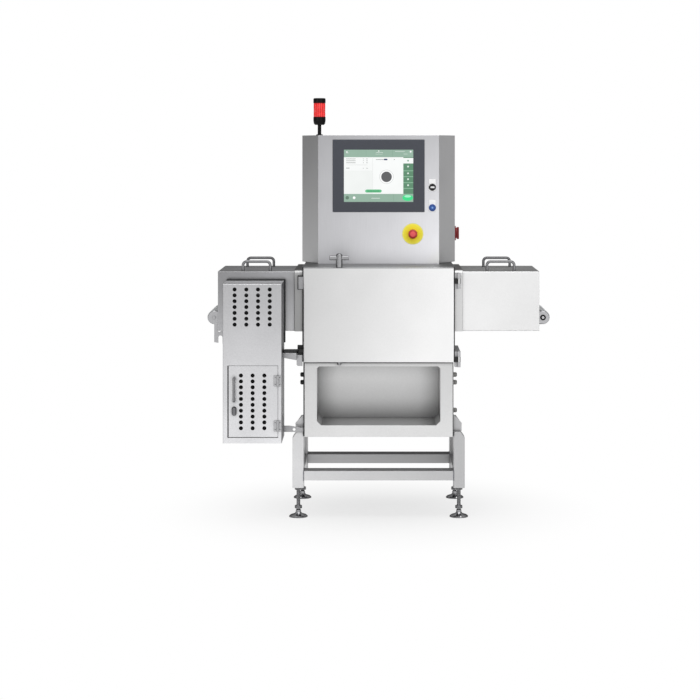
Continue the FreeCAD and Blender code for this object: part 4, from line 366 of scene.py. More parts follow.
# Cable glands: black nylon on the left side, nickel-plated brass with dark seals on the right side and at the back.
def banded(name, stops, axis, roughness=0.3):
    """Plastic or plating in bands along an axis, in (metres from the frame's origin, hex) stops, the first one lowest."""
    material, tree = blank_material(name)
    spot = add_node(tree, "ShaderNodeSeparateXYZ", {}, {0: own_place(tree)})
    low, high = stops[0][0], stops[-1][0]
    share = add_node(tree, "ShaderNodeMapRange", {"From Min": low, "From Max": high}, {"Value": spot.outputs[axis]})
    ramp = add_node(tree, "ShaderNodeValToRGB", {}, {0: share.outputs[0]})
    ramp.color_ramp.interpolation = "CONSTANT"
    ramp.color_ramp.elements[0].color = srgb(stops[0][1])
    ramp.color_ramp.elements[1].color = srgb(stops[-1][1])
    for place, tone in stops[1:-1]:
        ramp.color_ramp.elements.new((place - low) / (high - low)).color = srgb(tone)
    speck = add_node(tree, "ShaderNodeTexNoise", {"Scale": 1 / BLAST_PIT, "Detail": 2.0}, {"Vector": own_place(tree)})
    shade = add_node(tree, "ShaderNodeMapRange", {"To Min": 0.88, "To Max": 1.04}, {"Value": speck.outputs["Fac"]})
    colour = add_node(tree, "ShaderNodeMix", {"data_type": "RGBA", "blend_type": "MULTIPLY", 0: 1.0}, {
        6: ramp.outputs[0], 7: shade.outputs[0]})
    rounded = add_node(tree, "ShaderNodeBevel", {"samples": 4, "Radius": 0.0012})
    shell = add_node(tree, "ShaderNodeBsdfPrincipled", {"Roughness": roughness}, {
        "Base Color": colour.outputs[2], "Normal": rounded.outputs[0]})
    add_node(tree, "ShaderNodeOutputMaterial", {}, {"Surface": shell.outputs[0]})
    return material


dress(banded("nylon_and_nickel_gland", [
    (-0.36, "#0C0C0D"), (0.10, "#BDBCB8"), (0.3160, "#161617"), (0.3190, "#B4B3B0"), (0.3235, "#121213"),
    (0.3265, "#8E8D8A"), (0.3325, "#141415"), (0.36, "#141415")], "X"), "cable_glands")


# Chamber: folded stainless box with a collar for the tunnel on each side.
# Painted shade: the tops of the chamber and the collars are darker, and the collars darken towards the left.
dress(stainless("blasted_stainless_chamber", "#C4C4C5", roughness=0.46, edge=0.004, seam_shade=0.85,
                faces=(1, 1, 0.34)), "chamber_housing")
dress(stainless("blasted_stainless_collar", "#DCDCDC", light_sweep={"X": (0.66, 1.04)}, faces=(1, 1, 0.36)), "tunnel_collars")


# Front door: stainless pan, blasted finer than the rest, and lightened towards the right and the bottom as painted
# light, so it is the brightest face. Lead sheet bonded inside.
dress(stainless("fine_blasted_stainless_door", "#EEEEEE", roughness=0.38, contrast=0.03, edge=0.004,
                light_sweep={"X": (0.84, 1.18), "Z": (1.04, 0.98)}), "front_door")


def moulded(name, tone, roughness, speckle=0.05, grain=BLAST_PIT, shine=0.5, edge=0.001, bump=0.06):
    """Plastic, rubber or paint: one colour with a faint speckle, a fine grain and softened edges."""
    material, tree = blank_material(name)
    fine = add_node(tree, "ShaderNodeTexNoise", {"Scale": 1 / grain, "Detail": 2.0}, {"Vector": own_place(tree)})
    base = srgb(tone)
    dark = (*[share * (1 - speckle) for share in base[:3]], 1)
    light = (*[min(1, share * (1 + speckle)) for share in base[:3]], 1)
    colour = add_node(tree, "ShaderNodeMix", {"data_type": "RGBA", 6: dark, 7: light}, {0: fine.outputs["Fac"]})
    rounded = add_node(tree, "ShaderNodeBevel", {"samples": 4, "Radius": edge})
    relief = add_node(tree, "ShaderNodeBump", {"Strength": bump, "Distance": 0.001}, {
        "Height": fine.outputs["Fac"], "Normal": rounded.outputs[0]})
    body = add_node(tree, "ShaderNodeBsdfPrincipled", {"Roughness": roughness, "Specular IOR Level": shine}, {
        "Base Color": colour.outputs[2], "Normal": relief.outputs[0]})
    add_node(tree, "ShaderNodeOutputMaterial", {}, {"Surface": body.outputs[0]})
    return material


dress(moulded("dull_lead_sheet", "#5C5E62", 0.55, speckle=0.12, grain=0.03), "door_lead_lining")

# Door seal: hollow EPDM rubber section around the chamber's mouth. Squeezed by the door, it shows as a black line
# along the door's edges.
SEAL_OUT_X = 0.3262
SEAL_IN_X = 0.312
SEAL_LOW = 0.6715
SEAL_HIGH = 1.0755
SEAL_IN_LOW = 0.684
SEAL_IN_HIGH = 1.063
SEAL_FRONT = -0.2040
SEAL_BACK = -0.2021

# Black rubber for the seals, trims and mat; the same black also paints shadow in the base and cabinet shadow strips.
black_rubber_and_shadow = moulded("epdm_rubber_and_painted_shadow", "#242426", 0.62)


def box_corners(low, high):
    return [Vector((x, y, z)) for x in (low[0], high[0]) for y in (low[1], high[1]) for z in (low[2], high[2])]


def add_block(shape, low, high):
    """A block between two corners."""
    middle = [(a + b) / 2 for a, b in zip(low, high)]
    size = [b - a for a, b in zip(low, high)]
    bmesh.ops.create_cube(shape, size=1.0, matrix=Matrix.Translation(middle) @ Matrix.Diagonal((*size, 1.0)))


def door_seal(shape):
    add_block(shape, (-SEAL_OUT_X, SEAL_FRONT, SEAL_LOW), (-SEAL_IN_X, SEAL_BACK, SEAL_HIGH))
    add_block(shape, (SEAL_IN_X, SEAL_FRONT, SEAL_LOW), (SEAL_OUT_X, SEAL_BACK, SEAL_HIGH))
    add_block(shape, (-SEAL_IN_X, SEAL_FRONT, SEAL_LOW), (SEAL_IN_X, SEAL_BACK, SEAL_IN_LOW))
    add_block(shape, (-SEAL_IN_X, SEAL_FRONT, SEAL_IN_HIGH), (SEAL_IN_X, SEAL_BACK, SEAL_HIGH))


seal = new_object("door_seal", door_seal)
seal.data.materials.append(black_rubber_and_shadow)
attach(seal, "frame")
dress(black_rubber_and_shadow, "door_gasket")

# Door top trim: a grey rubber strip bonded along the upper edge of the door's face.
DOOR_FRONT = -0.2320
DOOR_TRIM = ((-0.3208, 1.0727), (0.3208, 1.0756))
door_top_trim = new_object("door_top_trim", lambda shape: add_block(
    shape, (DOOR_TRIM[0][0], DOOR_FRONT - 0.0006, DOOR_TRIM[0][1]), (DOOR_TRIM[1][0], DOOR_FRONT + 0.0030, DOOR_TRIM[1][1])))
door_top_trim.data.materials.append(moulded("grey_silicone", "#77787A", 0.6, shine=0.2))
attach(door_top_trim, "front_door")

# Base shadow lines: black strips that stand in for shadow, a painted shadow along the base's top edge under the door
# and down each side behind the front frame. The top strip is cut thin where the door's lock rod turns in front of it.
BASE_FRONT = -0.212
BASE_SIDE = 0.3165
BASE_LOW = 0.354
SHADOW_LINE_LOW = 0.6662
SHADOW_LINE_HIGH = 0.6705
SHADOW_LINE_PROUD = 0.0035
LOCK_CUT = (-0.180, -0.156)
LOCK_CUT_PROUD = 0.0004


def base_shadow_lines(shape):
    for left, right, proud in (
            (-BASE_SIDE, LOCK_CUT[0], SHADOW_LINE_PROUD), (*LOCK_CUT, LOCK_CUT_PROUD), (LOCK_CUT[1], BASE_SIDE, SHADOW_LINE_PROUD)):
        add_block(shape, (left, BASE_FRONT - proud, SHADOW_LINE_LOW), (right, BASE_FRONT + 0.0001, SHADOW_LINE_HIGH))
    for side, width in ((-1, 0.0050), (1, 0.0032)):
        edges = sorted((side * (BASE_SIDE - 0.0002), side * (BASE_SIDE + width)))
        add_block(shape, (edges[0], BASE_FRONT + 0.0020, BASE_LOW), (edges[1], BASE_FRONT + 0.0050, SHADOW_LINE_HIGH))


base_shadow = new_object("base_shadow_lines", base_shadow_lines)
base_shadow.data.materials.append(black_rubber_and_shadow)
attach(base_shadow, "frame")


# Door hinges, lock handle and interlocks: hinges milled from stainless bar, handle turned and polished, switches in
# black ABS with a stainless tongue on the door.
milled_steel = stainless("milled_stainless", "#C2C2C4", roughness=0.30, stretch=(1, 1, 0.25), contrast=0.03,
                         bump=0.015, edge=0.001)
polished_steel = stainless("polished_stainless", "#A4A4A6", roughness=0.15, grain=0.02, bump=0.01, edge=0.0008)
black_abs = moulded("black_abs", "#161718", 0.42)
dress(milled_steel, "door_hinge_brackets")
dress(banded("blackened_hinge_barrel", [(0.30, "#101011"), (0.3395, "#E4E4E4"), (0.3465, "#3A3A3B"), (0.36, "#3A3A3B")],
             "X"), "door_hinge_arms")
dress(banded("interlock_tongue", [(0.60, "#141415"), (0.85, "#A6A6A8"), (1.10, "#A6A6A8")], "Z"), "interlock_actuators")
# Painted shade on the round rod: faces looking sideways and up get a darker tone than the front.
polished_rod = stainless("polished_round_stainless", "#A2A2A4", roughness=0.18, grain=0.02, bump=0.01, edge=0.0008,
                         seam=0.004, faces=(0.20, 1.05, 0.26))
dress(polished_rod, "tee_handle")
dress(black_abs, "interlock_switches")

# Bracket of the lower interlock: folded from 2.5 mm stainless, held on the chamber's side, its lower corner rounded.
BRACKET_SHEET = 0.0025
BRACKET_LEFT = -0.3505
BRACKET_RIGHT = -0.3251
BRACKET_LOW = 0.6530
BRACKET_HIGH = 0.7000
BRACKET_FACE = -0.2040
BRACKET_RETURN = 0.040
BRACKET_ROUND = 0.008


def extrude(shape, outline, depth):
    """A closed outline as a plate, drawn out along a depth vector."""
    front = [shape.verts.new(point) for point in outline]
    back = [shape.verts.new(Vector(point) + Vector(depth)) for point in outline]
    shape.faces.new(front)
    shape.faces.new(list(reversed(back)))
    for here in range(len(front)):
        after = (here + 1) % len(front)
        shape.faces.new((front[after], front[here], back[here], back[after]))
    bmesh.ops.recalc_face_normals(shape, faces=shape.faces)


def interlock_bracket(shape):
    corner = [
        (BRACKET_LEFT + BRACKET_ROUND * (1 - math.cos(turn)), BRACKET_FACE, BRACKET_LOW + BRACKET_ROUND * (1 - math.sin(turn)))
        for turn in (math.radians(15 * step) for step in range(7))]
    extrude(shape, corner + [
        (BRACKET_RIGHT, BRACKET_FACE, BRACKET_LOW), (BRACKET_RIGHT, BRACKET_FACE, BRACKET_HIGH),
        (BRACKET_LEFT, BRACKET_FACE, BRACKET_HIGH)], (0, BRACKET_SHEET, 0))
    add_block(shape, (BRACKET_RIGHT - BRACKET_SHEET, BRACKET_FACE + BRACKET_SHEET, BRACKET_LOW + 0.020),
              (BRACKET_RIGHT, BRACKET_FACE + BRACKET_RETURN, BRACKET_HIGH))


bracket = new_object("interlock_bracket", interlock_bracket)
bracket.data.materials.append(milled_steel)
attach(bracket, "frame")


# Conveyor: white polyurethane belt over two rollers, between milled rails, on a slider bed.
dress(moulded("polyurethane_belt", "#D2D4D5", 0.45, grain=0.003), "conveyor_belt")
dress(milled_steel, "conveyor_side_rails", "slider_bed", "infeed_hook_brackets", "infeed_roller", "drive_roller")
dress(moulded("anodised_detector_case", "#8C8E92", 0.4), "line_detector")

# Shaft bearings: a black polymer flange around each end of the driven shaft, pressed on the rail's outside.
ROLLER_X = 0.712
ROLLER_Z = 0.851
RAIL_FACES = (-0.096, 0.246)
FLANGE_PROFILE = ((0.0064, 0.0), (0.0064, 0.0030), (0.0100, 0.0030), (0.0122, 0.0015), (0.0122, 0.0))


def lathe(shape, profile, place, axis, steps=40, facets=None):
    """Turns a profile of (radius, height) pairs around an axis. Facets make the innermost radius a hexagon."""
    turn = Vector(axis).to_track_quat("Z", "Y").to_matrix()
    inner = min(radius for radius, height in profile if radius > 0)
    rings = []
    for radius, height in profile:
        ring = []
        for step in range(steps):
            angle = 2 * math.pi * step / steps
            reach = radius
            if facets and radius <= inner * 1.001:
                wedge = 2 * math.pi / facets
                reach = radius / math.cos((angle + wedge / 2) % wedge - wedge / 2) * 0.93
            point = Vector((reach * math.cos(angle), reach * math.sin(angle), height))
            ring.append(shape.verts.new(Vector(place) + turn @ point))
        rings.append(ring)
    for low, high in zip(rings, rings[1:]):
        for step in range(steps):
            after = (step + 1) % steps
            shape.faces.new((low[step], low[after], high[after], high[step]))
    return rings


def shaft_bearings(shape):
    for y, facing in zip(RAIL_FACES, (-1, 1)):
        rings = lathe(shape, FLANGE_PROFILE, (ROLLER_X, y, ROLLER_Z), (0, facing, 0))
        steps = len(rings[0])
        for step in range(steps):
            after = (step + 1) % steps
            shape.faces.new((rings[-1][step], rings[-1][after], rings[0][after], rings[0][step]))


matt_black = moulded("matt_black_nylon", "#060606", 0.5, shine=0.1)
bearings = new_object("shaft_bearings", shaft_bearings)
bearings.data.materials.append(matt_black)
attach(bearings, "frame")


# Tunnel hoods and trays: folded stainless covers, the infeed one a little rougher than the outfeed one. The infeed
# hood's darker tone is painted shade and the outfeed hood's lighter tone painted light; both also shift across their
# width and tops as painted light and shade.
# Curtains of lead rubber hang inside, slit into strips; the handles are bent from 12 mm polished rod.
dress(stainless("shaded_blasted_stainless_hood", "#B4B4B6", roughness=0.40, light_sweep={"X": (1.02, 1.36), "Z": (1.24, 0.70)},
                faces=(1, 1, 1.2)), "infeed_hood")
dress(stainless("lit_blasted_stainless_hood", "#F6F6F6", roughness=0.38, contrast=0.03, seam_shade=0.75,
                light_sweep={"X": (1.02, 0.925)}, faces=(1, 1, 0.6)), "outfeed_hood")
dress(stainless("blasted_stainless_tray", "#C8C8C9"), "tunnel_trays")
# Painted shade on the bent rod: it darkens towards the back, and its sides and tops are darker than its front.
bent_rod = stainless("drawn_round_stainless", "#9C9C9E", roughness=0.24, grain=0.02, bump=0.01, edge=0.0008,
                     light_sweep={"Y": (1.05, 0.55)}, faces=(0.5, 0.85, 0.42))
dress(bent_rod, "infeed_hood_handles", "outfeed_hood_handles")
dress(moulded("lead_rubber", "#3A3C3F", 0.6), "infeed_curtain", "outfeed_curtain")


# Head: folded stainless housing with angled front corners, brushed front panel, service panel at the back.
# The 120 grit strokes run upright; they are 0.1 mm apart and drawn 3 mm wide.
BRUSH_STROKE = 0.003
# Painted light: the housing lightens towards the right, and the brushed panel towards the right and the bottom, each
# tilted across its corners.
dress(stainless("blasted_stainless_head", "#DADADB", roughness=0.34, contrast=0.04, seam=0.003, light_sweep={"X": (0.78, 0.98)},
                corner_light=0.72),
      "head_housing")
dress(stainless("brushed_stainless_panel", "#CDCDD0", roughness=0.34, stretch=(1, 1, 0.03), grain=BRUSH_STROKE,
                contrast=0.05, bump=0.02, seam=0.003, light_sweep={"X": (0.90, 1.28), "Z": (1.18, 0.85)}, corner_light=-0.26),
      "head_front_panel")
dress(stainless("blasted_stainless_rear", "#D4D4D5"), "rear_service_panel")
dress(moulded("powder_coated_generator", "#D8D8D2", 0.4, grain=0.002), "xray_generator")

# Screws of the service panel: stainless button heads with a hexagon socket.
PANEL_SCREW_X = 0.2875
PANEL_SCREW_LOW = 1.131
PANEL_SCREW_HIGH = 1.586
PANEL_BACK = 0.410
SCREW_PROFILE = ((0.0, 0.0006), (0.0020, 0.0006), (0.0021, 0.0024), (0.0034, 0.0022), (0.0046, 0.0010), (0.0048, -0.0004))


def screw_heads(name, places, facing, body, scale=1.0):
    profile = [(radius * scale, height * scale) for radius, height in SCREW_PROFILE]

    def build(shape):
        for place in places:
            lathe(shape, profile, place, facing, steps=24, facets=6)

    heads = new_object(name, build)
    heads.data.materials.append(polished_steel)
    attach(heads, body)
    return heads


panel_heights = [PANEL_SCREW_LOW + (PANEL_SCREW_HIGH - PANEL_SCREW_LOW) * step / 3 for step in range(4)]
panel_places = [(side * PANEL_SCREW_X, PANEL_BACK - 0.0025, z) for side in (-1, 1) for z in panel_heights]
panel_places += [(side * 0.10, PANEL_BACK - 0.0025, z) for side in (-1, 1) for z in (PANEL_SCREW_LOW, PANEL_SCREW_HIGH)]
screw_heads("service_panel_screws", panel_places, (0, 1, 0), "frame")


# Display: touch panel in a dark anodised aluminium bezel, glass let in 1 mm. The maker's space above it is left bare.
dress(moulded("dark_anodised_bezel", "#3E414A", 0.38, speckle=0.03, grain=0.002), "display_bezel")
dress(moulded("screen_glass", "#0E1110", 0.08), "display_glass")
dress(black_abs, "panel_computer")

# The lit picture on the screen: plain panes, bars and discs of light in the layout of a process display, no words.
# Sizes are in steps of the screen, 627 wide and 475 high, counted from its upper left corner.
SCREEN_STEPS = (627.0, 475.0)
LAYER = 0.00012
glass_low, glass_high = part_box("display_glass")


def screen_point(across, down, layer):
    x = glass_low.x + (glass_high.x - glass_low.x) * across / SCREEN_STEPS[0]
    z = glass_high.z - (glass_high.z - glass_low.z) * down / SCREEN_STEPS[1]
    return Vector((x, glass_low.y - LAYER * layer, z))


def lit_colour(name, tone, strength=1.0):
    """A patch of the lit picture: the backlight varies a little in soft clouds over the glass."""
    material, tree = blank_material(name)
    cloud = add_node(tree, "ShaderNodeTexNoise", {"Scale": 14.0, "Detail": 1.0}, {"Vector": own_place(tree)})
    base = srgb(tone)
    dim = (*[share * 0.93 for share in base[:3]], 1)
    bright = (*[min(1, share * 1.03) for share in base[:3]], 1)
    colour = add_node(tree, "ShaderNodeMix", {"data_type": "RGBA", 6: dim, 7: bright}, {0: cloud.outputs["Fac"]})
    glow = add_node(tree, "ShaderNodeBsdfPrincipled", {
        "Base Color": (0.004, 0.004, 0.004, 1), "Roughness": 0.22, "Emission Strength": strength},
        {"Emission Color": colour.outputs[2]})
    add_node(tree, "ShaderNodeOutputMaterial", {}, {"Surface": glow.outputs[0]})
    return material


def pane(left, right, top, bottom, layer):
    return [screen_point(*spot, layer) for spot in ((left, bottom), (right, bottom), (right, top), (left, top))]


def disc(across, down, radius, layer, squash=1.0, steps=36):
    points = []
    for step in range(steps):
        turn = 2 * math.pi * step / steps
        points.append(screen_point(across + radius * math.cos(turn), down - radius * squash * math.sin(turn), layer))
    return points


def pill(left, right, top, bottom, layer, steps=8):
    radius = (bottom - top) / 2
    middle = (top + bottom) / 2
    points = []
    for centre, start in ((right - radius, -90), (left + radius, 90)):
        for step in range(steps + 1):
            turn = math.radians(start + 180 * step / steps)
            points.append(screen_point(centre + radius * math.cos(turn), middle - radius * math.sin(turn), layer))
    return points


def screen_layer(name, tone, outlines, strength=1.0):
    def build(shape):
        for outline in outlines:
            shape.faces.new([shape.verts.new(point) for point in outline])
        bmesh.ops.recalc_face_normals(shape, faces=shape.faces)
        if shape.faces and sum(face.normal.y for face in shape.faces) > 0:
            bmesh.ops.reverse_faces(shape, faces=shape.faces)

    layer = new_object(name, build)
    layer.data.materials.append(lit_colour(name + "_light", tone, strength))
    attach(layer, "frame")
    return layer


MENU_TOPS = (127, 189, 242, 297, 349)
screen_layer("screen_paper", "#F7F9F8", [pane(0, 537, 68, 402, 1), pane(537, 627, 75, 125, 2)])
screen_layer("screen_bands", "#93B2A0", [pane(0, 627, 0, 68, 1), pane(0, 627, 402, 475, 1)])
screen_layer("screen_band_edges", "#7C9C88", [
    pane(199, 201, 4, 64, 2), pane(437, 439, 4, 64, 2), pane(448, 450, 406, 471, 2), pane(0, 627, 66, 68, 2)])
screen_layer("screen_menu", "#58896A", [pane(537, 627, 68, 402, 1)])
screen_layer("screen_menu_edges", "#8FBF9F", [pane(537, 627, top, top + 6, 2) for top in MENU_TOPS[1:]])
screen_layer("screen_white_marks", "#FFFFFF", [
    disc(27, 20, 6, 3), pane(20, 44, 28, 30, 3), disc(315, 12, 5, 3), pane(290, 352, 25, 27, 3), disc(603, 18, 8, 3),
    pane(462, 550, 15, 17, 3), disc(92, 437, 12, 3), pane(248, 325, 440, 443, 3)], strength=1.05)
screen_layer("screen_pale_marks", "#E2F0E6", [disc(580, top + 26, 8, 3) for top in MENU_TOPS[:4]] + [
    pane(285, 350, 40, 42, 3), pane(540, 575, 38, 41, 3)])
screen_layer("screen_left_paper", "#F1F4F2", [pane(2, 257, 190, 400, 2)])
screen_layer("screen_start_key", "#2FD07F", [disc(577, 437, 48, 3, squash=0.6)], strength=1.15)
screen_layer("screen_start_shine", "#A9F2CB", [disc(577, 424, 30, 4, squash=0.35)])
screen_layer("screen_footer_disc", "#5E7D69", [disc(30, 437, 16, 3)])
screen_layer("screen_button", "#5FBF86", [pill(192, 342, 362, 390, 3)])
screen_layer("screen_button_bar", "#2C7A50", [pane(212, 322, 374, 379, 4)])
screen_layer("screen_grey_bars", "#5C6461", (
    [pane(20, 105, top, top + 4, 3) for top in (82, 99, 117)]
    + [pane(left, left + width, top, top + 4, 3) for top in (82, 99, 117, 166) for left, width in ((172, 8), (202, 13))]
    + [pane(20, 50, 165, 170, 3), pane(288, 358, 88, 92, 3), disc(455, 90, 4, 3), pane(20, 210, 138, 139, 3)]))
screen_layer("screen_divider", "#B4BAB7", [pane(259, 260, 75, 395, 3), disc(385, 247, 64, 2)])
screen_layer("screen_paper_ring", "#FAFBFB", [disc(385, 247, 61.5, 3)])
screen_layer("screen_product", "#58595B", [disc(385, 247, 48, 4)])
screen_layer("screen_tag", "#2C3A66", [pill(360, 394, 82, 96, 3)])
screen_layer("screen_selected_mark", "#7FA98F", [disc(580, 100, 8, 3)])


# Operator controls: black key switch, blue push button and red stop button on its yellow disc.
# Bezels are turned; the label plates are white polycarbonate, left blank.
CONTROL_X = 0.236
KEY_Z = 1.413
START_Z = 1.323
STOP = (0.150, 1.208)
PANEL_Y = 0.018
LABEL_FACE = 0.017
STOP_FACE = 0.0165

dress(moulded("white_polycarbonate_label", "#FCFCFC", 0.35, speckle=0.02), "control_label_plates")
dress(black_abs, "key_switch_core")

# Key: stamped nickel-plated steel, its bow cut off square, left in the switch.
KEY_BOW = (0.0180, 0.0072)
KEY_ROOT = (0.0085, 0.0038)
KEY_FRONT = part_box("key_switch_core")[0].y


def switch_key(shape):
    for (width, height), proud in ((KEY_BOW, 0.0035), (KEY_ROOT, 0.0050)):
        cut = height * 0.3
        extrude(shape, [
            (CONTROL_X + across * width / 2 + inset_x * cut, KEY_FRONT - proud, KEY_Z + up * height / 2 + inset_z * cut)
            for across, up, inset_x, inset_z in (
                (-1, -1, 1, 0), (1, -1, -1, 0), (1, -1, 0, 1), (1, 1, 0, -1),
                (1, 1, -1, 0), (-1, 1, 1, 0), (-1, 1, 0, -1), (-1, -1, 0, 1))], (0, proud + 0.0008, 0))


key = new_object("switch_key", switch_key)
key.data.materials.append(moulded("nickel_plated_key", "#F2F2F2", 0.3))
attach(key, "key_switch_core")


def radial(name, centre, stops, roughness):
    """Plastic whose colour changes with the distance from the middle of a round control, in (metres, hex) stops; the
    rings paint light and shade on the control.
    """
    material, tree = blank_material(name)
    place = add_node(tree, "ShaderNodeTexCoord")
    offset = add_node(tree, "ShaderNodeVectorMath", {"operation": "SUBTRACT", 1: (centre[0], 0, centre[1])},
                      {0: place.outputs["Object"]})
    flat = add_node(tree, "ShaderNodeVectorMath", {"operation": "MULTIPLY", 1: (1, 0, 1)}, {0: offset.outputs[0]})
    reach = add_node(tree, "ShaderNodeVectorMath", {"operation": "LENGTH"}, {0: flat.outputs[0]})
    speck = add_node(tree, "ShaderNodeTexNoise", {"Scale": 500.0, "Detail": 1.0}, {"Vector": place.outputs["Object"]})
    shake = add_node(tree, "ShaderNodeMath", {"operation": "MULTIPLY_ADD", 1: 0.0012}, {
        0: speck.outputs["Fac"], 2: reach.outputs["Value"]})
    width = stops[-1][0]
    share = add_node(tree, "ShaderNodeMath", {"operation": "DIVIDE", 1: width}, {0: shake.outputs[0]})
    ramp = add_node(tree, "ShaderNodeValToRGB", {}, {0: share.outputs[0]})
    ramp.color_ramp.elements[0].position = stops[0][0] / width
    ramp.color_ramp.elements[0].color = srgb(stops[0][1])
    ramp.color_ramp.elements[1].color = srgb(stops[-1][1])
    for radius, tone in stops[1:-1]:
        ramp.color_ramp.elements.new(radius / width).color = srgb(tone)
    relief = add_node(tree, "ShaderNodeBevel", {"samples": 4, "Radius": 0.0008})
    body = add_node(tree, "ShaderNodeBsdfPrincipled", {"Roughness": roughness}, {
        "Base Color": ramp.outputs[0], "Normal": relief.outputs[0]})
    add_node(tree, "ShaderNodeOutputMaterial", {}, {"Surface": body.outputs[0]})
    return material


# Painted light and shade in the rings: the blue cap and the red mushroom have painted highlights in their middles and
# painted shade in their grooves and rims; the yellow disc has painted shade near the button and paler painted light
# towards its rim.
dress(radial("moulded_blue_cap", (CONTROL_X, START_Z), [
    (0, "#9CBEEE"), (0.0042, "#6E9CE0"), (0.0060, "#23458A"), (0.0085, "#3A68BC"), (0.0115, "#24488E")], 0.3), "start_button")
dress(radial("moulded_red_mushroom", STOP, [
    (0, "#F45C60"), (0.0115, "#EE5458"), (0.0140, "#B83230"), (0.0180, "#C63A34"), (0.021, "#7C1612")], 0.32),
    "emergency_stop_button")
dress(radial("yellow_disc_painted_shade", STOP, [
    (0, "#F4C01A"), (0.019, "#FFD81C"), (0.027, "#FFEA28"), (0.039, "#FFF23A"), (0.046, "#FFF66C")], 0.42),
    "emergency_stop_disc")

BEZEL_PROFILE = ((0.0110, 0.0), (0.0110, 0.0040), (0.0118, 0.0046), (0.0140, 0.0046), (0.0152, 0.0034), (0.0156, 0.0))
STOP_PROFILE = ((0.0110, 0.0), (0.0110, 0.0100), (0.0135, 0.0100), (0.0150, 0.0088), (0.0150, 0.0010), (0.0158, 0.0))


def control_bezel(name, place, profile, material):
    def build(shape):
        rings = lathe(shape, profile, place, (0, -1, 0), steps=64)
        steps = len(rings[0])
        for step in range(steps):
            after = (step + 1) % steps
            shape.faces.new((rings[-1][step], rings[-1][after], rings[0][after], rings[0][step]))

    bezel = new_object(name, build)
    bezel.data.materials.append(material)
    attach(bezel, "frame")
    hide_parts("control_rings")


control_bezel("key_switch_bezel", (CONTROL_X, LABEL_FACE, KEY_Z), BEZEL_PROFILE, black_abs)
control_bezel("start_bezel", (CONTROL_X, LABEL_FACE, START_Z), BEZEL_PROFILE, moulded("blue_bezel", "#24509C", 0.28))
control_bezel("stop_collar", (STOP[0], STOP_FACE, STOP[1]), STOP_PROFILE, moulded("yellow_collar", "#F0BC24", 0.4))


# Signal beacon: black polycarbonate base and cap on a black tube, red lens moulded with 16 upright flutes, lit.
LENS_CENTRE = (-0.261, 0.068)
LENS_LOW = 1.722
LENS_HIGH = 1.783
LENS_RADIUS = 0.0258
LENS_FLUTES = 16
LENS_FLUTE_DEPTH = 0.0010
LENS_STEPS = 192

dress(moulded("black_polycarbonate", "#070607", 0.35, shine=0.15), "beacon_pole", "beacon_housing")


def lens_shell(shape):
    rows = []
    for z, shrink in ((LENS_LOW, 0.0010), (LENS_LOW + 0.002, 0), (LENS_LOW + 0.018, 0), (LENS_LOW + 0.019, 0.0008),
                      (LENS_LOW + 0.020, 0), (LENS_HIGH - 0.002, 0), (LENS_HIGH, 0.0010)):
        row = []
        for step in range(LENS_STEPS):
            turn = 2 * math.pi * step / LENS_STEPS
            radius = LENS_RADIUS - shrink - LENS_FLUTE_DEPTH * (0.5 - 0.5 * math.cos(LENS_FLUTES * turn))
            row.append(shape.verts.new((
                LENS_CENTRE[0] + radius * math.cos(turn), LENS_CENTRE[1] + radius * math.sin(turn), z)))
        rows.append(row)
    for low, high in zip(rows, rows[1:]):
        for step in range(LENS_STEPS):
            after = (step + 1) % LENS_STEPS
            shape.faces.new((low[step], low[after], high[after], high[step]))


def lit_lens():
    """Red acrylic lit from inside, brighter along the ridges between its flutes."""
    material, tree = blank_material("lit_red_acrylic")
    spot = add_node(tree, "ShaderNodeSeparateXYZ", {}, {0: own_place(tree)})
    beside = add_node(tree, "ShaderNodeMath", {"operation": "SUBTRACT", 1: LENS_CENTRE[0]}, {0: spot.outputs["X"]})
    behind = add_node(tree, "ShaderNodeMath", {"operation": "SUBTRACT", 1: LENS_CENTRE[1]}, {0: spot.outputs["Y"]})
    turn = add_node(tree, "ShaderNodeMath", {"operation": "ARCTAN2"}, {0: behind.outputs[0], 1: beside.outputs[0]})
    flute = add_node(tree, "ShaderNodeMath", {"operation": "MULTIPLY", 1: float(LENS_FLUTES)}, {0: turn.outputs[0]})
    ridge = add_node(tree, "ShaderNodeMath", {"operation": "COSINE"}, {0: flute.outputs[0]})
    share = add_node(tree, "ShaderNodeMapRange", {"From Min": -0.6, "From Max": 1.0}, {"Value": ridge.outputs[0]})
    colour = add_node(tree, "ShaderNodeMix", {"data_type": "RGBA", 6: srgb("#BC1216"), 7: srgb("#E83C38")},
                      {0: share.outputs[0]})
    body = add_node(tree, "ShaderNodeBsdfPrincipled", {"Roughness": 0.2, "Emission Strength": 0.4}, {
        "Base Color": colour.outputs[2], "Emission Color": colour.outputs[2]})
    add_node(tree, "ShaderNodeOutputMaterial", {}, {"Surface": body.outputs[0]})
    return material


lens = new_object("beacon_fluted_lens", lens_shell)
lens.data.materials.append(lit_lens())
for face in lens.data.polygons:
    face.use_smooth = True
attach(lens, "frame")
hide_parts("beacon_lens")


# Main switch on the head's right side: dark red moulded plate and handle.
dress(moulded("dark_red_abs", "#861C20", 0.32, shine=0.35), "main_switch_plate", "main_switch_handle")


# Electrical cabinet: folded stainless sheet, ground to a fine mottle that shows as specks, with punched vent holes.
# Its door is the same sheet on two small hinges, with a pull handle and a quarter-turn latch.
MOTTLE = 0.004
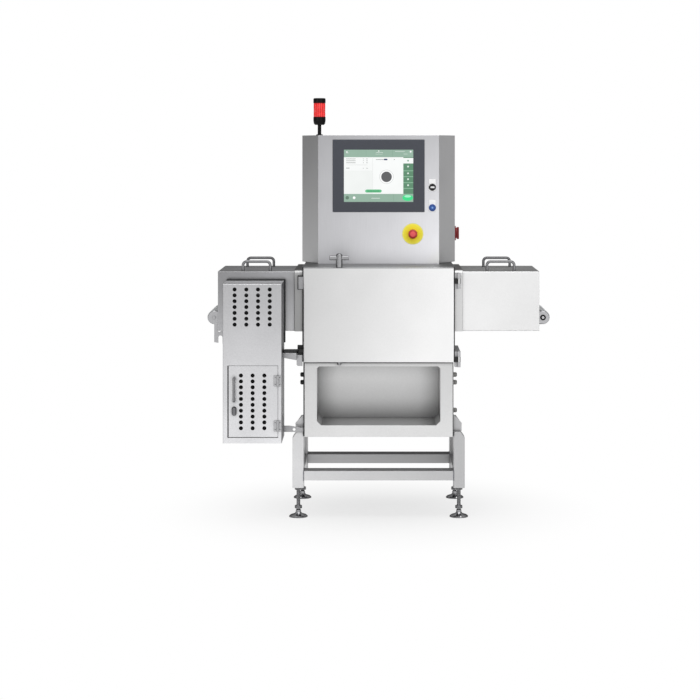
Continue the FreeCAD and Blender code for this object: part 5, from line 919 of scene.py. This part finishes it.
# Painted light and shade on the cabinet: shell and door lighter low down, dark sides and light tops, deep painted shade
# in holes and seams.
dress(stainless("mottled_stainless_cabinet", "#D2D2D4", roughness=0.36, grain=MOTTLE, contrast=0.10, bump=0.1,
                edge=0.0008, seam_shade=0.06, light_sweep={"Z": (1.34, 0.84)}, faces=(0.22, 1, 1.5)), "cabinet_shell")
dress(stainless("mottled_stainless_cabinet_door", "#D2D2D4", roughness=0.36, grain=MOTTLE, contrast=0.10, bump=0.1,
                edge=0.0008, seam_shade=0.06, light_sweep={"Z": (1.28, 1.10)}), "cabinet_door")
dress(milled_steel, "cabinet_hinge_leaves_fixed", "cabinet_hinge_leaves_door")
dress(bent_rod, "cabinet_pull_handle")
dress(stainless("dark_polished_latch", "#7C7C7F", roughness=0.2), "cabinet_latch")

# Latch surround: black ABS oval, moulded around the latch and clipped in the door.
LATCH_CENTRE = (-0.6045, 0.484)
LATCH_OVAL = ((0.0060, 0.0145, 0.0), (0.0060, 0.0145, 0.0016), (0.0096, 0.0186, 0.0016), (0.0100, 0.0190, 0.0))
OVAL_STEPS = 48


def latch_surround(shape):
    rings = []
    for width, height, proud in LATCH_OVAL:
        ring = []
        for step in range(OVAL_STEPS):
            turn = 2 * math.pi * step / OVAL_STEPS
            ring.append(shape.verts.new((
                LATCH_CENTRE[0] + width * math.cos(turn), CABINET_FACE - proud,
                LATCH_CENTRE[1] + (height - width) * math.copysign(1, math.sin(turn)) + width * math.sin(turn))))
        rings.append(ring)
    for low, high in zip(rings, rings[1:] + rings[:1]):
        for step in range(OVAL_STEPS):
            after = (step + 1) % OVAL_STEPS
            shape.faces.new((low[step], low[after], high[after], high[step]))
    bmesh.ops.recalc_face_normals(shape, faces=shape.faces)


CABINET_FACE = -0.382
surround = new_object("latch_surround", latch_surround)
surround.data.materials.append(matt_black)
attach(surround, "cabinet_door")

# Dust mats behind the vent holes: black woven nylon, 0.4 mm thick. Its threads are drawn 3 mm apart.
MAT_THREAD = 0.003


def woven_mat():
    material, tree = blank_material("black_woven_nylon")
    thread = {"wave_type": "BANDS", "Scale": 1 / MAT_THREAD / 3.2}
    across = add_node(tree, "ShaderNodeTexWave", {**thread, "bands_direction": "X"}, {"Vector": own_place(tree)})
    upright = add_node(tree, "ShaderNodeTexWave", {**thread, "bands_direction": "Z"}, {"Vector": own_place(tree)})
    weave = add_node(tree, "ShaderNodeMath", {"operation": "MULTIPLY"}, {
        0: across.outputs["Fac"], 1: upright.outputs["Fac"]})
    colour = add_node(tree, "ShaderNodeMix", {"data_type": "RGBA", 6: srgb("#030303"), 7: srgb("#141415")},
                      {0: weave.outputs[0]})
    cloth = add_node(tree, "ShaderNodeBsdfPrincipled", {"Roughness": 0.9, "Specular IOR Level": 0.2}, {
        "Base Color": colour.outputs[2]})
    add_node(tree, "ShaderNodeOutputMaterial", {}, {"Surface": cloth.outputs[0]})
    return material


mat_finish = woven_mat()
for name, body, low, high in (
        ("upper_dust_mat", "frame", (-0.616, 0.839), (-0.442, 0.999)),
        ("door_dust_mat", "cabinet_door", (-0.590, 0.400), (-0.464, 0.645))):
    mat = new_object(name, lambda shape: add_block(
        shape, (low[0], CABINET_FACE + 0.0021, low[1]), (high[0], CABINET_FACE + 0.0025, high[1])))
    mat.data.materials.append(mat_finish)
    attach(mat, body)

# Cabinet back shadow strip: a black strip along the top and down the right side of the rear flange, a dark sheet that
# stands in for the shadow between the cabinet and the hood behind it.
SHADOW_STRIP_TOP = 1.0155
SHADOW_STRIP_LOW = 0.750
SHADOW_STRIP_WIDTH = 0.022
CABINET_SIDES = (-0.652, -0.406)
CABINET_BACK = -0.142


def cabinet_shadow_strip(shape):
    add_block(shape, (CABINET_SIDES[0] - 0.001, CABINET_BACK - SHADOW_STRIP_WIDTH, SHADOW_STRIP_TOP - 0.001),
              (CABINET_SIDES[1] + 0.0050, CABINET_BACK + 0.003, SHADOW_STRIP_TOP + 0.0055))
    add_block(shape, (CABINET_SIDES[1] - 0.001, CABINET_BACK - SHADOW_STRIP_WIDTH, SHADOW_STRIP_LOW),
              (CABINET_SIDES[1] + 0.0050, CABINET_BACK + 0.003, SHADOW_STRIP_TOP - 0.001))


back_shadow_strip = new_object("cabinet_back_shadow_strip", cabinet_shadow_strip)
back_shadow_strip.data.materials.append(black_rubber_and_shadow)
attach(back_shadow_strip, "frame")

# Cabinet door trim: a black rubber strip pressed on the free edge and the lower edge of the door.
TRIM_LEFT = -0.6311
TRIM_RIGHT = -0.4220
TRIM_LOW = 0.3739
TRIM_HIGH = 0.6730
TRIM_PROUD = 0.0006


def door_trim(shape):
    face = CABINET_FACE - TRIM_PROUD
    add_block(shape, (TRIM_LEFT, face, TRIM_LOW), (TRIM_LEFT + 0.0034, CABINET_FACE + 0.0002, TRIM_HIGH))
    add_block(shape, (TRIM_LEFT + 0.0034, face, TRIM_LOW), (TRIM_RIGHT, CABINET_FACE + 0.0002, TRIM_LOW + 0.0012))


trim = new_object("cabinet_door_trim", door_trim)
trim.data.materials.append(black_rubber_and_shadow)
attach(trim, "cabinet_door")

# Hinge screws of the cabinet door: two on each leaf.
LEAF_FACE = -0.384
HINGE_SCREW_ZS = (0.4075, 0.4365, 0.5965, 0.6255)
screw_heads("cabinet_hinge_screws_fixed", [(-0.4128, LEAF_FACE, z) for z in HINGE_SCREW_ZS], (0, -1, 0), "frame", 0.55)
screw_heads("cabinet_hinge_screws_door", [(-0.4325, LEAF_FACE, z) for z in HINGE_SCREW_ZS], (0, -1, 0), "cabinet_door", 0.55)

# Cabinet arms: blasted stainless brackets, the upper one with a black rubber mat bonded on its top.
ARM_TOP = 0.715
ARM_SPAN = (-0.4055, -0.3495)
ARM_DEPTH = (-0.2675, -0.1185)

dress(stainless("blasted_stainless_arm", "#B9B9BB"), "cabinet_arms")
arm_mat = new_object("cabinet_arm_mat", lambda shape: add_block(
    shape, (ARM_SPAN[0], ARM_DEPTH[0], ARM_TOP), (ARM_SPAN[1], ARM_DEPTH[1], ARM_TOP + 0.0015)))
arm_mat.data.materials.append(black_rubber_and_shadow)
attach(arm_mat, "frame")


# Cooling fan and drive controller inside the cabinet: black ABS fan, controller in a ribbed powder-coated case.
dress(black_abs, "fan_frame", "fan_rotor")
dress(moulded("powder_coated_controller", "#2A2B2D", 0.5, grain=0.002), "drive_controller")
